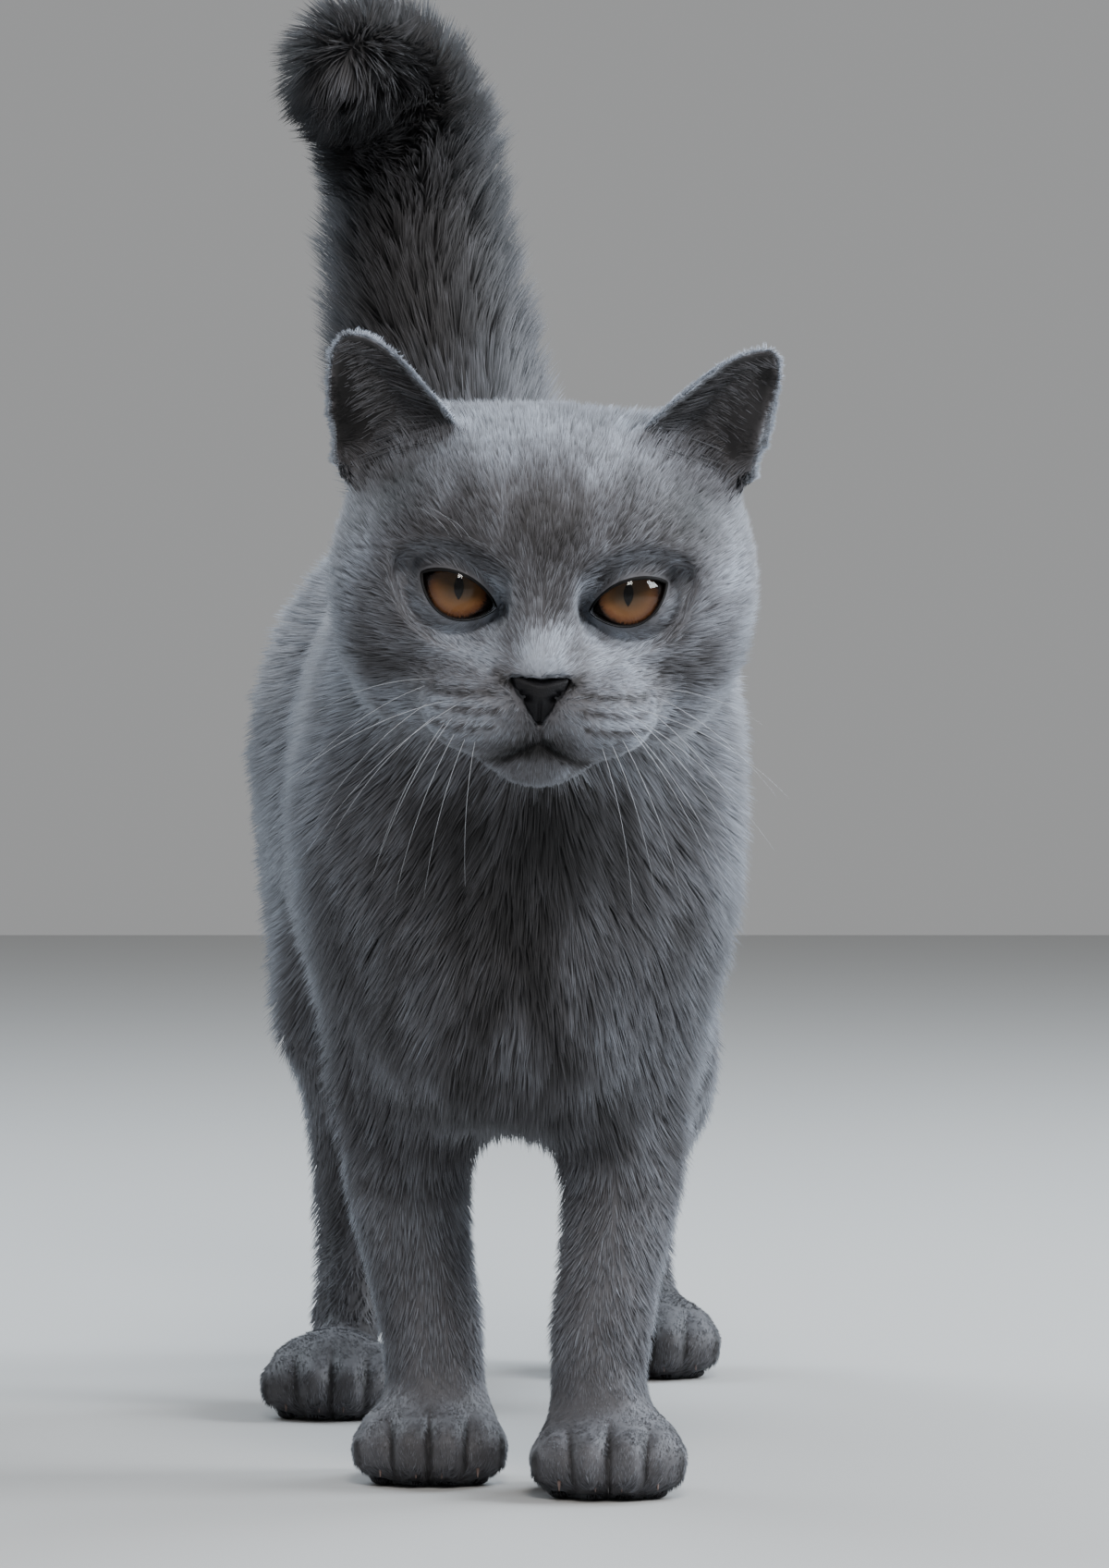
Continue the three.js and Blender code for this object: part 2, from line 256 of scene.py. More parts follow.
class Surface:
    """Working copy of a mesh: places, triangles, edges, normals, and averaging over neighbours."""

    def __init__(self, mesh):
        self.mesh = mesh
        mesh.calc_loop_triangles()
        self.co = read(mesh.vertices, "co", 3)
        self.tri = read(mesh.loop_triangles, "vertices", 3, np.int64)
        self.edges = read(mesh.edges, "vertices", 2, np.int64)
        self.count = np.bincount(self.edges.ravel(), minlength=len(self.co)).astype(float)

    def normals(self):
        a, b, c = (self.co[self.tri[:, i]] for i in range(3))
        face = np.repeat(np.cross(b - a, c - a), 3, axis=0)
        corners = self.tri.ravel()
        sums = [np.bincount(corners, column, len(self.co)) for column in face.T]
        return unit(np.stack(sums, axis=1))

    def average(self, values):
        """The mean of each vertex's neighbours."""
        flat = values.reshape(len(values), -1)
        a, b = self.edges.T
        size = len(flat)
        sums = [np.bincount(a, column[b], size) + np.bincount(b, column[a], size) for column in flat.T]
        return (np.stack(sums, axis=1) / self.count[:, None]).reshape(values.shape)

    def blur(self, values, rounds, amount=1.0):
        if np.ndim(amount) and values.ndim > 1:
            amount = amount[:, None]
        for _ in range(rounds):
            values = values + (self.average(values) - values) * amount
        return values

    def store(self):
        self.mesh.vertices.foreach_set("co", self.co.ravel())
        self.mesh.update()


# ---- coat by region

# Depth of the coat over the skin, length of its tufts, their lift off the skin in degrees, their
# width (all mm), and how many stand on each square millimetre.
COAT = {
    "head": dict(depth=3.2, length=6.2, lift=26, width=0.39, density=2.6),
    "ear": dict(depth=0.5, length=3.2, lift=16, width=0.27, density=4.0),
    "neck": dict(depth=6.5, length=12, lift=32, width=0.58, density=1.5),
    "trunk_front": dict(depth=5.4, length=12, lift=31, width=0.60, density=1.19),
    "trunk_rear": dict(depth=3.8, length=12, lift=30, width=0.77, density=0.64),
    "tail": dict(depth=6.6, length=15.5, lift=46, width=0.78, density=0.98),
    "fore_leg": dict(depth=1.7, length=5.4, lift=26, width=0.45, density=1.36),
    "hind_leg": dict(depth=2.4, length=6.5, lift=26, width=0.58, density=0.70),
    "fore_paw": dict(depth=0.9, length=2.3, lift=13, width=0.31, density=3.5),
    "hind_paw": dict(depth=0.9, length=2.5, lift=14, width=0.42, density=1.5),
}
# The same numbers for parts of the head: the face, the cheeks, the muzzle and the thin ring round the eyes.
FACE = dict(depth=2.0, length=4.0, lift=23, width=0.30, density=4.4)
CHEEK = dict(depth=4.8, length=9.0, lift=27, width=0.46, density=2.3)
MUZZLE = dict(depth=1.3, length=2.7, lift=22, width=0.27, density=5.6)
EYE_RING = dict(depth=0.7, length=2.1, lift=17, width=0.25, density=6.0)

REGIONS = sorted(COAT)
# The nodes that the skin stands in for.
FLESH = sorted(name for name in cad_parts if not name.startswith(("eye", "nose")))
LEG_AND_TRUNK_BLUR = 40  # rounds that hide the border between the legs' short coat and the trunk's


def region_of(node):
    return next(region for region in sorted(COAT, key=len, reverse=True) if node.startswith(region))


def nearest_regions(points):
    """The index in REGIONS of the region whose solid is nearest to each point."""
    parts = [welded(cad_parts[name])[:2] for name in FLESH]
    owner = [REGIONS.index(region_of(name)) for name, part in zip(FLESH, parts) for _ in part[1]]
    vertices, faces = joined(parts)
    tree = BVHTree.FromPolygons(vertices.tolist(), faces)
    return np.array([owner[tree.find_nearest(p)[2]] for p in points.tolist()])


def shares(surface, rounds):
    """How much each vertex belongs to each region, blended over the borders."""
    blended = surface.blur(np.eye(len(REGIONS))[nearest_regions(surface.co)], rounds)
    return dict(zip(REGIONS, blended.T))


def coat_fields(surface, share):
    """Depth, length, lift, width and density of the coat at each vertex."""
    values = {key: sum(share[name] * COAT[name][key] for name in COAT) for key in FACE}
    covered = ("trunk", "fore_leg", "hind_leg")
    legs_and_trunk = sum(share[name] for name in COAT if name.startswith(covered))
    for key in ("depth", "length"):
        blurred = surface.blur(values[key], LEG_AND_TRUNK_BLUR)
        values[key] = mix(values[key], blurred, legs_and_trunk)
    across, forward, up = to_head(surface.co).T
    on_head = smooth(share["head"], 0.3, 0.9)
    face = on_head * smooth(forward, 8, 30)
    cheek = on_head * smooth(np.abs(across), 30, 46) * smooth(-up, -14, 12) * (1 - 0.6 * face)
    muzzle = on_head * smooth(forward, 38, 48) * smooth(-up, -10, 4)
    ring = on_head * (1 - smooth(from_eyes(surface.co), 11.5, 18))
    for key in values:
        for amount, part in ((face, FACE), (cheek, CHEEK), (muzzle, MUZZLE), (ring, EYE_RING)):
            values[key] = mix(values[key], part[key], amount)
    values["depth"] = surface.blur(values["depth"], 6)
    return values


# ---- lids

LID = dict(half=10.4, upper=4.2, lower=7.3, slant=23, drop=0.9)  # mm, and the slant in degrees
LID_THICK = 0.9
LID_REACH = 22  # how far from the eye's middle the skin is laid over the ball, mm
LID_SNAP = 0.45  # skin this near the outline is moved onto it, mm
LID_FADE = (0.8, 8)  # distances outside the outline over which the skin leaves the ball, mm
SOCKET_DEPTH = 3.0  # of the hidden skin in the opening, in front of the eye's middle, mm
slant = math.radians(LID["slant"])


def lid_edges(along):
    """Heights of the upper and the lower lid's edge over the eye's long axis, in mm."""
    rise = np.clip(1 - (along / LID["half"]) ** 2, 0, 1)
    return LID["upper"] * rise ** 0.75, -LID["lower"] * rise ** 0.8


def lid_outline(count):
    """The opening between the lids, in mm away from the nose and up, from the inner corner over the top."""
    angle = np.linspace(0, 2 * math.pi, count, endpoint=False)
    along = -LID["half"] * np.cos(angle)
    height = np.where(np.sin(angle) >= 0, *lid_edges(along))
    u = along * math.cos(slant) - height * math.sin(slant)
    v = along * math.sin(slant) + height * math.cos(slant) - LID["drop"]
    return np.stack([u, v], axis=1)


def inside_lids(u, v):
    v = v + LID["drop"]
    along = u * math.cos(slant) + v * math.sin(slant)
    height = -u * math.sin(slant) + v * math.cos(slant)
    upper, lower = lid_edges(along)
    return (height < upper) & (height > lower)


def sculpt_lids(surface):
    """Lays the skin round each eye over the ball as lids, and takes it behind the ball in the opening."""
    outline = lid_outline(160)
    for side in SIDES:
        local = to_eye(side, surface.co)
        radius = np.linalg.norm(local, axis=1)
        near = np.flatnonzero((radius < LID_REACH) & (local[:, 2] > 0))
        seen = local[near, :2]
        distance = np.linalg.norm(outline[None] - seen[:, None], axis=2)
        closest = distance.argmin(axis=1)
        nearest = distance[np.arange(len(near)), closest]
        snap = nearest < LID_SNAP
        flat = np.where(snap[:, None], outline[closest], seen)
        off = np.where(inside_lids(*seen.T) & ~snap, -nearest, nearest)
        lid = EYE_RADIUS + LID_THICK
        softness = 1.5
        lifted = softness * np.logaddexp(radius[near] / softness, lid / softness)
        target = mix(lid, lifted, smooth(off, *LID_FADE))
        forward = np.sqrt(np.maximum(target ** 2 - (flat ** 2).sum(axis=1), 1))
        outside = np.column_stack([flat, forward])
        outside = mix(local[near], outside, smooth(local[near, 2], 0.5, 4)[:, None])
        behind = np.column_stack([flat, np.full(len(near), SOCKET_DEPTH)])
        place = np.where((off < 0)[:, None], behind, outside)
        surface.co[near] = in_eye(side, place)


# ---- muzzle, nose and mouth

WHISKER_PAD = dict(out=16.5, up=-20.5, long=1.45, radius=9.2, swell=3.8)  # long is length over height
PAD_FOLD = dict(radius=12.2, width=2.6, depth=0.8)
NOSE_TOP, NOSE_FOOT, NOSE_HALF = -10.4, -22.4, 7.3
# Half the leather's width, mm, from its top (0) to its foot (1).
NOSE_OUTLINE = ([0, 0.1, 0.25, 0.45, 0.65, 0.85, 1], [7.0, 7.7, 6.9, 5.1, 3.3, 1.7, 0.9])
NOSE_SINK = 3.0  # how far the skin under the leather is sunk, mm
MOUTH_TOP, MOUTH_CORNER = (0, -25.6), (12.2, -32.8)
MOUTH_DEPTH, MOUTH_WIDTH = 1.7, 1.3
FURROW_DEPTH, FURROW_WIDTH = 1.5, 0.9


def mouth_line(across):
    """Height of the mouth line: an upturned V whose arms level out at their ends."""
    return mix(MOUTH_TOP[1], MOUTH_CORNER[1], smooth(np.abs(across), -4, MOUTH_CORNER[0]))


def on_nose(points, margin):
    """1 under the nose leather, 0 beyond margin (mm) outside it."""
    across, forward, up = to_head(points).T
    v = np.clip((NOSE_TOP - up) / (NOSE_TOP - NOSE_FOOT), 0, 1)
    over_side = np.abs(across) - np.interp(v, *NOSE_OUTLINE)
    beyond = np.maximum(over_side, np.maximum(up - NOSE_TOP, NOSE_FOOT - up))
    return (1 - smooth(beyond, 0, margin)) * (forward > 40)


def sculpt_muzzle(surface):
    """Swells the whisker pads, with a fold above and outside each."""
    across, forward, up = to_head(surface.co).T
    out = np.abs(across)
    front = smooth(forward, 22, 34)
    from_pad = np.hypot((out - WHISKER_PAD["out"]) / WHISKER_PAD["long"], up - WHISKER_PAD["up"])
    pad = np.exp(-(from_pad / WHISKER_PAD["radius"]) ** 3) * front
    fold = bell(from_pad, PAD_FOLD["radius"], PAD_FOLD["width"])
    fold = fold * smooth(out, 9, 17) * smooth(up, -32, -22) * front
    swell = WHISKER_PAD["swell"] * pad - PAD_FOLD["depth"] * fold
    surface.co += surface.blur(surface.normals(), 3) * swell[:, None] * MM


def sculpt_mouth(surface):
    """Cuts the mouth line and the furrow from the nose to it."""
    across, forward, up = to_head(surface.co).T
    front = smooth(forward, 30, 38)
    line = bell(up - mouth_line(across), 0, MOUTH_WIDTH) * (1 - smooth(np.abs(across), 12, 18)) * front
    furrow = bell(across, 0, FURROW_WIDTH) * smooth(up, -27.5, -26) * (1 - smooth(up, -20, -17)) * front
    back = np.maximum(line * MOUTH_DEPTH, furrow * FURROW_DEPTH)
    surface.co += np.outer(back, -head_vector(0, 1, 0)) * MM


def sink_nose(surface):
    """Makes room for the nose leather."""
    depth = on_nose(surface.co, 0.6) * NOSE_SINK * MM
    surface.co -= np.outer(depth, head_vector(0, 1, 0))


# ---- paws

FORE_PAWS = [f"fore_paw_{side}" for side in SIDES]
PAWS = FORE_PAWS + [f"hind_paw_{side}" for side in SIDES]
TOES = (-14.3, -4.9, 4.9, 14.3)  # middles of the toes, across from the paw's middle, mm
TOE_HALF = 4.8
TOE_ROUND = 3.8  # how far a toe's edges lie behind its middle, mm


def paw_front(name):
    """The paw's middle across and its front, in metres."""
    low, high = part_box(name)
    return (low[0] + high[0]) / 2, low[1]


def in_paw(name, points, half, reach):
    """Across from the paw's middle, behind its front and height, in mm, and which points are near by."""
    across, behind, height = (points - [*paw_front(name), 0]).T / MM
    return across, behind, height, (np.abs(across) < half) & (behind > -4) & (behind < reach)


def from_toe(across):
    """Distance across from the nearest toe's middle, as a share of its half width."""
    return np.abs(across[:, None] - np.array(TOES)).min(axis=1) / TOE_HALF


def sculpt_toes(surface):
    """Rounds the front of each paw into four toes with narrow splits between them."""
    for name in PAWS:
        across, behind, height, here = in_paw(name, surface.co, 26, 30)
        here = here & (height < 28)
        narrowing = 1 - 0.006 * np.clip(behind, 0, 20)
        edge = np.clip(from_toe(across * narrowing), 0, 1)
        fall = 1 - np.sqrt(1 - 0.97 * edge ** 2)
        depth = TOE_ROUND * fall * here * (1 - smooth(behind, 8, 24)) * (1 - smooth(height, 15, 24))
        surface.co += np.outer(depth * MM, [0, 0.85, -0.35])


# ---- skin: one surface over all the flesh

SWELL = 1.1 * MM  # closes the cuts between the solids before they are fused
EAR_SWELL = 1.7 * MM  # the ears' thin edges need more, or the voxels miss them
VOXEL = 1.35 * MM
BODY_SHARE = 0.18  # share of the body's triangles that is kept, where the skin has no detail
FACET_ROUNDS = 24  # rounds that smooth away the solids' facets and cuts
EAR_KEEP, PAW_KEEP, HEAD_KEEP = 0.75, 0.75, 0.55  # how far these keep their shape in that smoothing
COARSE_BLEND, FINE_BLEND = 8, 12  # rounds that blend the regions, before and after the detail is changed
SINK_STEPS = 6  # the skin goes in by the depth of the coat in this many steps
MOST_SINK = 0.32  # as a share of the flesh's thickness
LID_STRETCH, LID_ROUNDS = 14, 700  # the skin this near the gaze (mm) is pulled tight, in so many rounds
LID_RING, LID_RING_WIDTH, LID_RING_ROUNDS = 13, 5.5, 110  # and then evened out round its edge, mm
ELBOW_HEIGHT, ELBOW_SPAN = 0.092, 0.014  # of the smoothed crease where the fore legs leave the trunk, m
ELBOW_ROUNDS = 40


def fused():
    """One closed mesh over the flesh, with the eye sockets and the nose filled in."""
    parts = []
    for name, node in sorted(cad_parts.items()):
        co, faces, normals = welded(node)
        parts.append((co + normals * (EAR_SWELL if name.startswith("ear") else SWELL), faces))
    whole = new_object("whole", mesh_of("whole", *joined(parts), soft=False))
    remesh = whole.modifiers.new("fuse", "REMESH")
    remesh.mode = "VOXEL"
    remesh.voxel_size = VOXEL
    return applied(whole)


def thinned(surface, kept, ratio):
    """The surface with fewer triangles outside the kept vertices."""
    piece = new_object("thinning", surface.mesh)
    group = piece.vertex_groups.new(name="plain")
    group.add(np.flatnonzero(~kept).tolist(), 1.0, "REPLACE")
    decimate = piece.modifiers.new("thin", "DECIMATE")
    decimate.ratio = (kept.sum() + (~kept).sum() * ratio) / len(kept)
    decimate.vertex_group = "plain"
    decimate.vertex_group_factor = 1000  # its highest: the kept vertices stay
    return Surface(applied(piece))


def refined(surface, chosen):
    """The surface with each quad among the chosen vertices split in four."""
    surface.store()
    bm = bmesh.new()
    bm.from_mesh(surface.mesh)
    bm.verts.ensure_lookup_table()
    edges = [e for e in bm.edges if chosen[e.verts[0].index] and chosen[e.verts[1].index]]
    bmesh.ops.subdivide_edges(bm, edges=edges, cuts=1, use_grid_fill=True)
    bm.to_mesh(surface.mesh)
    bm.free()
    return Surface(surface.mesh)


def thickness(surface, normals):
    """Distance from each vertex straight through to the far side."""
    tree = BVHTree.FromPolygons(surface.co.tolist(), surface.tri.tolist())
    starts = (surface.co - normals * 0.2 * MM).tolist()
    reach = 40 * MM
    hits = (tree.ray_cast(start, way, reach)[3] for start, way in zip(starts, (-normals).tolist()))
    return np.array([reach if hit is None else hit for hit in hits])


def stretch_over(surface, chosen, rounds):
    """Pulls the chosen vertices tight like a membrane held by the vertices round them."""
    touching = chosen[surface.edges].any(axis=1)
    ends, edges = np.unique(surface.edges[touching], return_inverse=True)
    a, b = edges.reshape(-1, 2).T
    place, free = surface.co[ends], chosen[ends]
    count = np.bincount(np.concatenate([a, b]), minlength=len(ends))[:, None]
    for _ in range(rounds):
        sums = [np.bincount(a, p[b], len(ends)) + np.bincount(b, p[a], len(ends)) for p in place.T]
        place = np.where(free[:, None], np.stack(sums, axis=1) / count, place)
    surface.co[ends] = place


def with_even_detail(surface, share):
    """The surface with fewer triangles on the body and more on the middle of the face and the fore toes."""
    across, forward, up = to_head(surface.co).T
    face = (forward > 10) & (np.abs(across) < 46) & (up > -46)
    paws = share["fore_paw"] + share["hind_paw"] > 0.5
    surface = thinned(surface, face | paws | (share["ear"] > 0.2), BODY_SHARE)
    across, forward, up = to_head(surface.co).T
    fine = (forward > 32) & (np.abs(across) < 36) & (np.abs(up + 8) < 34)
    for name in FORE_PAWS:
        height, here = in_paw(name, surface.co, 26, 16)[2:]
        fine |= here & (height < 24)
    return refined(surface, fine)


def sink(surface, share, coat):
    """Moves the outline of the solids in by the depth of the coat."""
    swell = mix(SWELL, EAR_SWELL, share["ear"])
    room = thickness(surface, surface.normals()) * MOST_SINK
    depth = surface.blur(np.minimum(coat["depth"] * MM + swell, room), 3)[:, None]
    for _ in range(SINK_STEPS):
        surface.co = surface.co - surface.blur(surface.normals(), 3) * depth / SINK_STEPS
        surface.co = surface.blur(surface.co, 1, 0.25 * (1 - 0.5 * share["ear"]))


def build_skin():
    surface = Surface(fused())
    share = shares(surface, COARSE_BLEND)
    keep = share["ear"] * EAR_KEEP + (share["fore_paw"] + share["hind_paw"]) * PAW_KEEP
    keep = keep + share["head"] * HEAD_KEEP
    surface.co = surface.blur(surface.co, FACET_ROUNDS, 1 - np.clip(keep, 0, 0.95))
    surface.store()
    surface = with_even_detail(surface, share)
    share = shares(surface, FINE_BLEND)
    coat = coat_fields(surface, share)
    sink(surface, share, coat)
    elbows = bell(surface.co[:, 2], ELBOW_HEIGHT, ELBOW_SPAN) * (share["trunk_front"] + share["fore_leg"])
    elbows = elbows * (surface.co[:, 1] < -0.05)
    surface.co = surface.blur(surface.co, ELBOW_ROUNDS, 0.9 * np.clip(elbows, 0, 1))
    stretch_over(surface, beside_eyes(surface.co) < LID_STRETCH, LID_ROUNDS)
    ring = bell(beside_eyes(surface.co), LID_RING, LID_RING_WIDTH)
    surface.co = surface.blur(surface.co, LID_RING_ROUNDS, 0.95 * ring)
    sculpt_lids(surface)
    sculpt_muzzle(surface)
    sculpt_mouth(surface)
    sink_nose(surface)
    sculpt_toes(surface)
    surface.store()
    return surface, share, coat


skin, share, coat = build_skin()
skin.mesh.shade_smooth()


# ---- the ears' own coordinates

# The ears' edges from base to tip, given across, forward and up in the head, and their cup, in mm.
EAR_OUTER = [(52, 2, 4), (56, 1, 24), (58.8, -2, 42), (60.8, -4, 55), (60.5, -5, 63)]
EAR_INNER = [(7, 12, 25), (18, 12, 37.5), (31, 6.5, 50), (42, 0, 60), (49, -5, 65.5)]
EAR_LEAN, EAR_CUP = 1.5, 15
EAR_BOW = {"right": 0, "left": 3.5}
EAR_FACING = (0.35, 1, -0.1)
# The ears' pale rims are pale hair with painted rim light, and their dark hollows darker, sparser fur with
# painted shade.
RIM_INSIDE = 2.0  # how far the ears' pale rims reach inside the outline of the blade, mm
HOLLOW_START = RIM_INSIDE + 0.8  # the dark hollow starts this far inside the outline, mm


def ear_front(side):
    return unit(head_vector(SIDES[side] * EAR_FACING[0], EAR_FACING[1], EAR_FACING[2]))


def ear_edge(side, points, rise):
    """Places at shares of the way (rise, 0 to 1) from the base to the tip of one edge of an ear."""
    stops = np.linspace(0, 1, len(points))
    across, forward, up = (np.interp(rise, stops, column) for column in np.array(points, float).T)
    height = up / EAR_OUTER[-1][2]
    bow = EAR_BOW[side] * 4 * height * (1 - height)
    sign = SIDES[side]
    return in_head(np.stack([sign * (across - bow) + EAR_LEAN * height, forward, up], axis=1))


def ear_sheet(side, rise, spread):
    """Places on an ear's middle sheet, at rise 0 to 1 up it and spread -1 (inner edge) to 1 (outer)."""
    outer, inner = (ear_edge(side, edge, rise) for edge in (EAR_OUTER, EAR_INNER))
    hollow = EAR_CUP * (1 - spread ** 2) * (1 - rise ** 2)
    middle = (outer + inner) / 2 + (outer - inner) / 2 * spread[:, None]
    return middle - np.outer(hollow, ear_front(side)) * MM


def ear_outline(side):
    """Places along an ear's outline, up one edge and then up the other, and the way out past each."""
    climb = np.linspace(0, 1, 120)
    half = np.sqrt(1 - np.maximum(0, 3 * climb - 2) ** 2)  # full width, then round over the top third
    edges = np.concatenate([ear_sheet(side, climb, half), ear_sheet(side, climb, -half)])
    inner = np.concatenate([ear_sheet(side, 0.86 * climb, 0 * climb)] * 2) - edges
    ahead = np.gradient(edges.reshape(2, -1, 3), axis=1).reshape(-1, 3)
    past = np.cross(ahead, ear_front(side))
    return edges, unit(past * -np.sign((past * inner).sum(axis=1, keepdims=True)))


class Ears:
    """For each vertex of the skin: its rise and spread on its ear, how far it faces forward (facing), how
    far it lies inside the ear's outline (border) and how wide the ear is there (width), both in mm, the
    way across the ear (outward), the same with a droop (sweep) and the way past its nearest edge (away)."""

    def __init__(self, surface):
        grid = np.meshgrid(np.linspace(0, 1, 40), np.linspace(-1, 1, 40))
        rise, spread = (values.ravel() for values in grid)
        self.rise, self.spread, self.facing, self.width, self.border = np.zeros((5, len(surface.co)))
        self.outward, self.away = np.zeros((2, len(surface.co), 3))
        normals = surface.normals()
        for side, sign in SIDES.items():
            own_side = (surface.co[:, 0] - head_middle[0]) * sign > 0
            chosen = np.flatnonzero((share["ear"] > 0.02) & own_side)
            places = surface.co[chosen]
            near = nearest_of(ear_sheet(side, rise, spread), places)
            edges, past = ear_outline(side)
            closest = nearest_of(edges, places)
            gap = (edges[closest] - places) / MM
            self.border[chosen] = (gap * past[closest]).sum(axis=1)
            self.away[chosen] = past[closest]
            self.rise[chosen], self.spread[chosen] = rise[near], spread[near]
            self.facing[chosen] = normals[chosen] @ ear_front(side)
            outer, inner = (ear_edge(side, edge, rise[near]) for edge in (EAR_OUTER, EAR_INNER))
            self.width[chosen] = np.linalg.norm(outer - inner, axis=1) / MM
            self.outward[chosen] = unit(outer - inner)
        self.sweep = self.outward - np.outer(0.12 + 0.25 * self.spread, head_vector(0, 0, 1))
        # inside, edge and back also carry painted light into the ears' tone: shade in the hollow, rim light
        # on the edge, light on the back.
        inside = smooth(self.facing, 0.0, 0.3) * smooth(self.border, RIM_INSIDE, HOLLOW_START)
        fold = smooth(self.spread, 0.5, 0.85) * (1 - smooth(self.rise, 0.28, 0.42))
        self.inside = surface.blur(share["ear"] * inside, 1) * (1 - 0.75 * fold)
        self.edge = share["ear"] * (1 - smooth(self.border, RIM_INSIDE - 0.7, RIM_INSIDE))
        self.edge = self.edge * smooth(self.rise, 0.02, 0.12)
        self.back = share["ear"] * (1 - smooth(self.facing, -0.3, 0.2))


ears = Ears(skin)
# Partly painted light: rim light on the pale edges, shade in the hollows over their darker fur, and light
# on the backs.
ear_tone_and_painted_light = 0.42 * ears.edge - 0.36 * ears.inside + 0.10 * ears.back
soles = (share["fore_paw"] + share["hind_paw"]) * (1 - smooth(skin.co[:, 2] / MM, 2, 9))
coat["length"] = coat["length"] * (1 + 0.9 * soles)
coat["length"] = coat["length"] * (1 - 0.4 * share["ear"] * (1 - smooth(ears.border, 0, 4)))
coat["lift"] = coat["lift"] * (1 - 0.4 * ears.inside)

# ---- lie of the coat

TAIL_AXIS = [  # middle of the tail from root to tip, mm in the drawing
    (-18, 300, 236), (-22, 338, 250), (-30, 366, 276), (-37, 377, 308), (-41, 376, 338),
    (-43, 367, 366), (-50, 350, 383), (-58, 331, 389), (-61.5, 321, 387),
]
TAIL_HANG, TAIL_HANG_REACH = 1.1, 34  # the coat of the tail's tip hangs down, this near its end, mm
NOSE_PLACE = (0, 54, -14)  # where the face's coat parts, in the head, mm


def along_tail(points):
    """Direction of the tail, root to tip, beside each point."""
    joints = (np.array(TAIL_AXIS) + DRAWING) * MM
    middles = (joints[1:] + joints[:-1]) / 2
    ways = unit(joints[1:] - joints[:-1])
    weight = 1 / (np.linalg.norm(points[:, None] - middles[None], axis=2) ** 4 + 1e-9)
    return unit((weight[:, :, None] * ways[None]).sum(axis=1))


def lie_of_coat(surface, share):
    """Unit directions in which the coat lies on the skin, from root to tip, and the skin's normals."""
    co, normal = surface.co, surface.normals()
    down, back = np.array([0, 0, -1.0]), np.array([0, 1.0, 0])

    def everywhere(way):
        return np.tile(way, (len(co), 1))

    from_nose = unit(co - in_head(NOSE_PLACE)[0])
    front = smooth(-normal[:, 1], -0.1, 0.8)
    rear = smooth(normal[:, 1], 0.3, 0.9)
    across = co[:, 0] - head_middle[0]
    side = np.sign(across) * smooth(np.abs(across), 0, 12 * MM)
    from_tip = np.linalg.norm(co - (np.array(TAIL_AXIS[-1]) + DRAWING) * MM, axis=1) / MM
    chest = np.outer(1 - front, back) + np.outer(0.5 + 1.3 * front, down)
    chest = chest + np.outer(0.45 * side * front, [1, 0, 0])
    blade = everywhere(head_vector(0, -0.1, 1)) + 0.35 * ears.outward
    ways = {
        "head": from_nose,
        "ear": mix(blade, ears.sweep, np.clip(1.6 * ears.inside, 0, 1)[:, None]),
        "neck": from_nose + chest * 0.9,
        "trunk_front": chest,
        "trunk_rear": everywhere(back) + np.outer(0.45 + 0.8 * rear, down),
        "tail": along_tail(co) + np.outer(TAIL_HANG * bell(from_tip, 0, TAIL_HANG_REACH), down),
        "fore_leg": everywhere([0, 0.12, -1.0]),
        "hind_leg": everywhere([0, 0.35, -1.0]),
        "fore_paw": everywhere([0, -0.9, -0.7]),
        "hind_paw": everywhere([0, -0.9, -0.7]),
    }
    way = sum(share[name][:, None] * unit(ways[name]) for name in ways)
    for _ in range(3):
        way = surface.blur(flattened(way, normal), 6)
    return flattened(way, normal), normal


lie, normal = lie_of_coat(skin, share)


# ---- markings, with painted light and shade, shared by skin and coat

# Soft spots, the same on both sides of the head: out from the middle, up, half width and half height
# in mm, and tone.
HEAD_SPOTS = [
    # The next three spots are pale fur and also painted light that lifts the shade of the eye sockets.
    (12.5, -1, 3.2, 9, 0.26),       # light streak from the inner corner of the eye
    (20, -6.5, 9, 4.2, 0.30),       # light bag under the eye
    (9.5, 8, 3.0, 5.0, 0.16),       # above the inner corner
    (23, 18, 9, 3.0, 0.12),         # light brow
    (17, -20, 11, 7, 0.27),         # whisker pad
    (10.2, -8.5, 1.8, 5.0, -0.10),  # shadow beside the bridge
    (15, -3.5, 2.6, 2.4, -0.12),    # tear stain
    (0, 10, 6, 9, -0.07),           # between the eyes
    (0, 25, 19, 11, -0.23),         # forehead
    (12, 26, 3.5, 10, 0.08),        # light stripe on the forehead
    (20, 30, 3.0, 8, -0.09),        # dark stripe beside it
    (38, 27, 12, 9, -0.32),         # under the ear
    (46, 6, 5, 12, 0.10),           # temple
    (39, -12, 9, 7.5, -0.12),       # dark cheek spot
    (31, -3, 9, 3, -0.08),          # streak from the outer corner of the eye
    (33, -24, 9, 6, 0.12),          # lower cheek
    (0, -38, 10, 4.5, 0.02),        # chin
    (0, -28.5, 9, 3.2, -0.40),      # under the nose
]
BRIDGE = (0, -4.2, 7.0, 6.0, 0.40)  # the pale patch above the nose, with sharper borders than the spots
ALAR_CREASE = ((7.4, -12.6), (10.4, -9.6))  # from the corner of the leather, out and up, mm
SPOT_ROWS = ((-14.2, 12), (-18.0, 11), (-22.3, 12.5))  # rows of whisker spots: up, and first place out, mm
SPOTS_IN_ROW, SPOT_STEP = 5, (3.4, -0.25)  # the step from spot to spot, out and up, mm
FOREARM_BARS = (0.105, 0.092, 0.079)  # heights of the faint bars on the forearms, m
BLOTCHES = ((0.05, 34, 3), (0.05, 12, 5), (0.04, 4, 7))  # tone, width (mm) and seed of the mottling
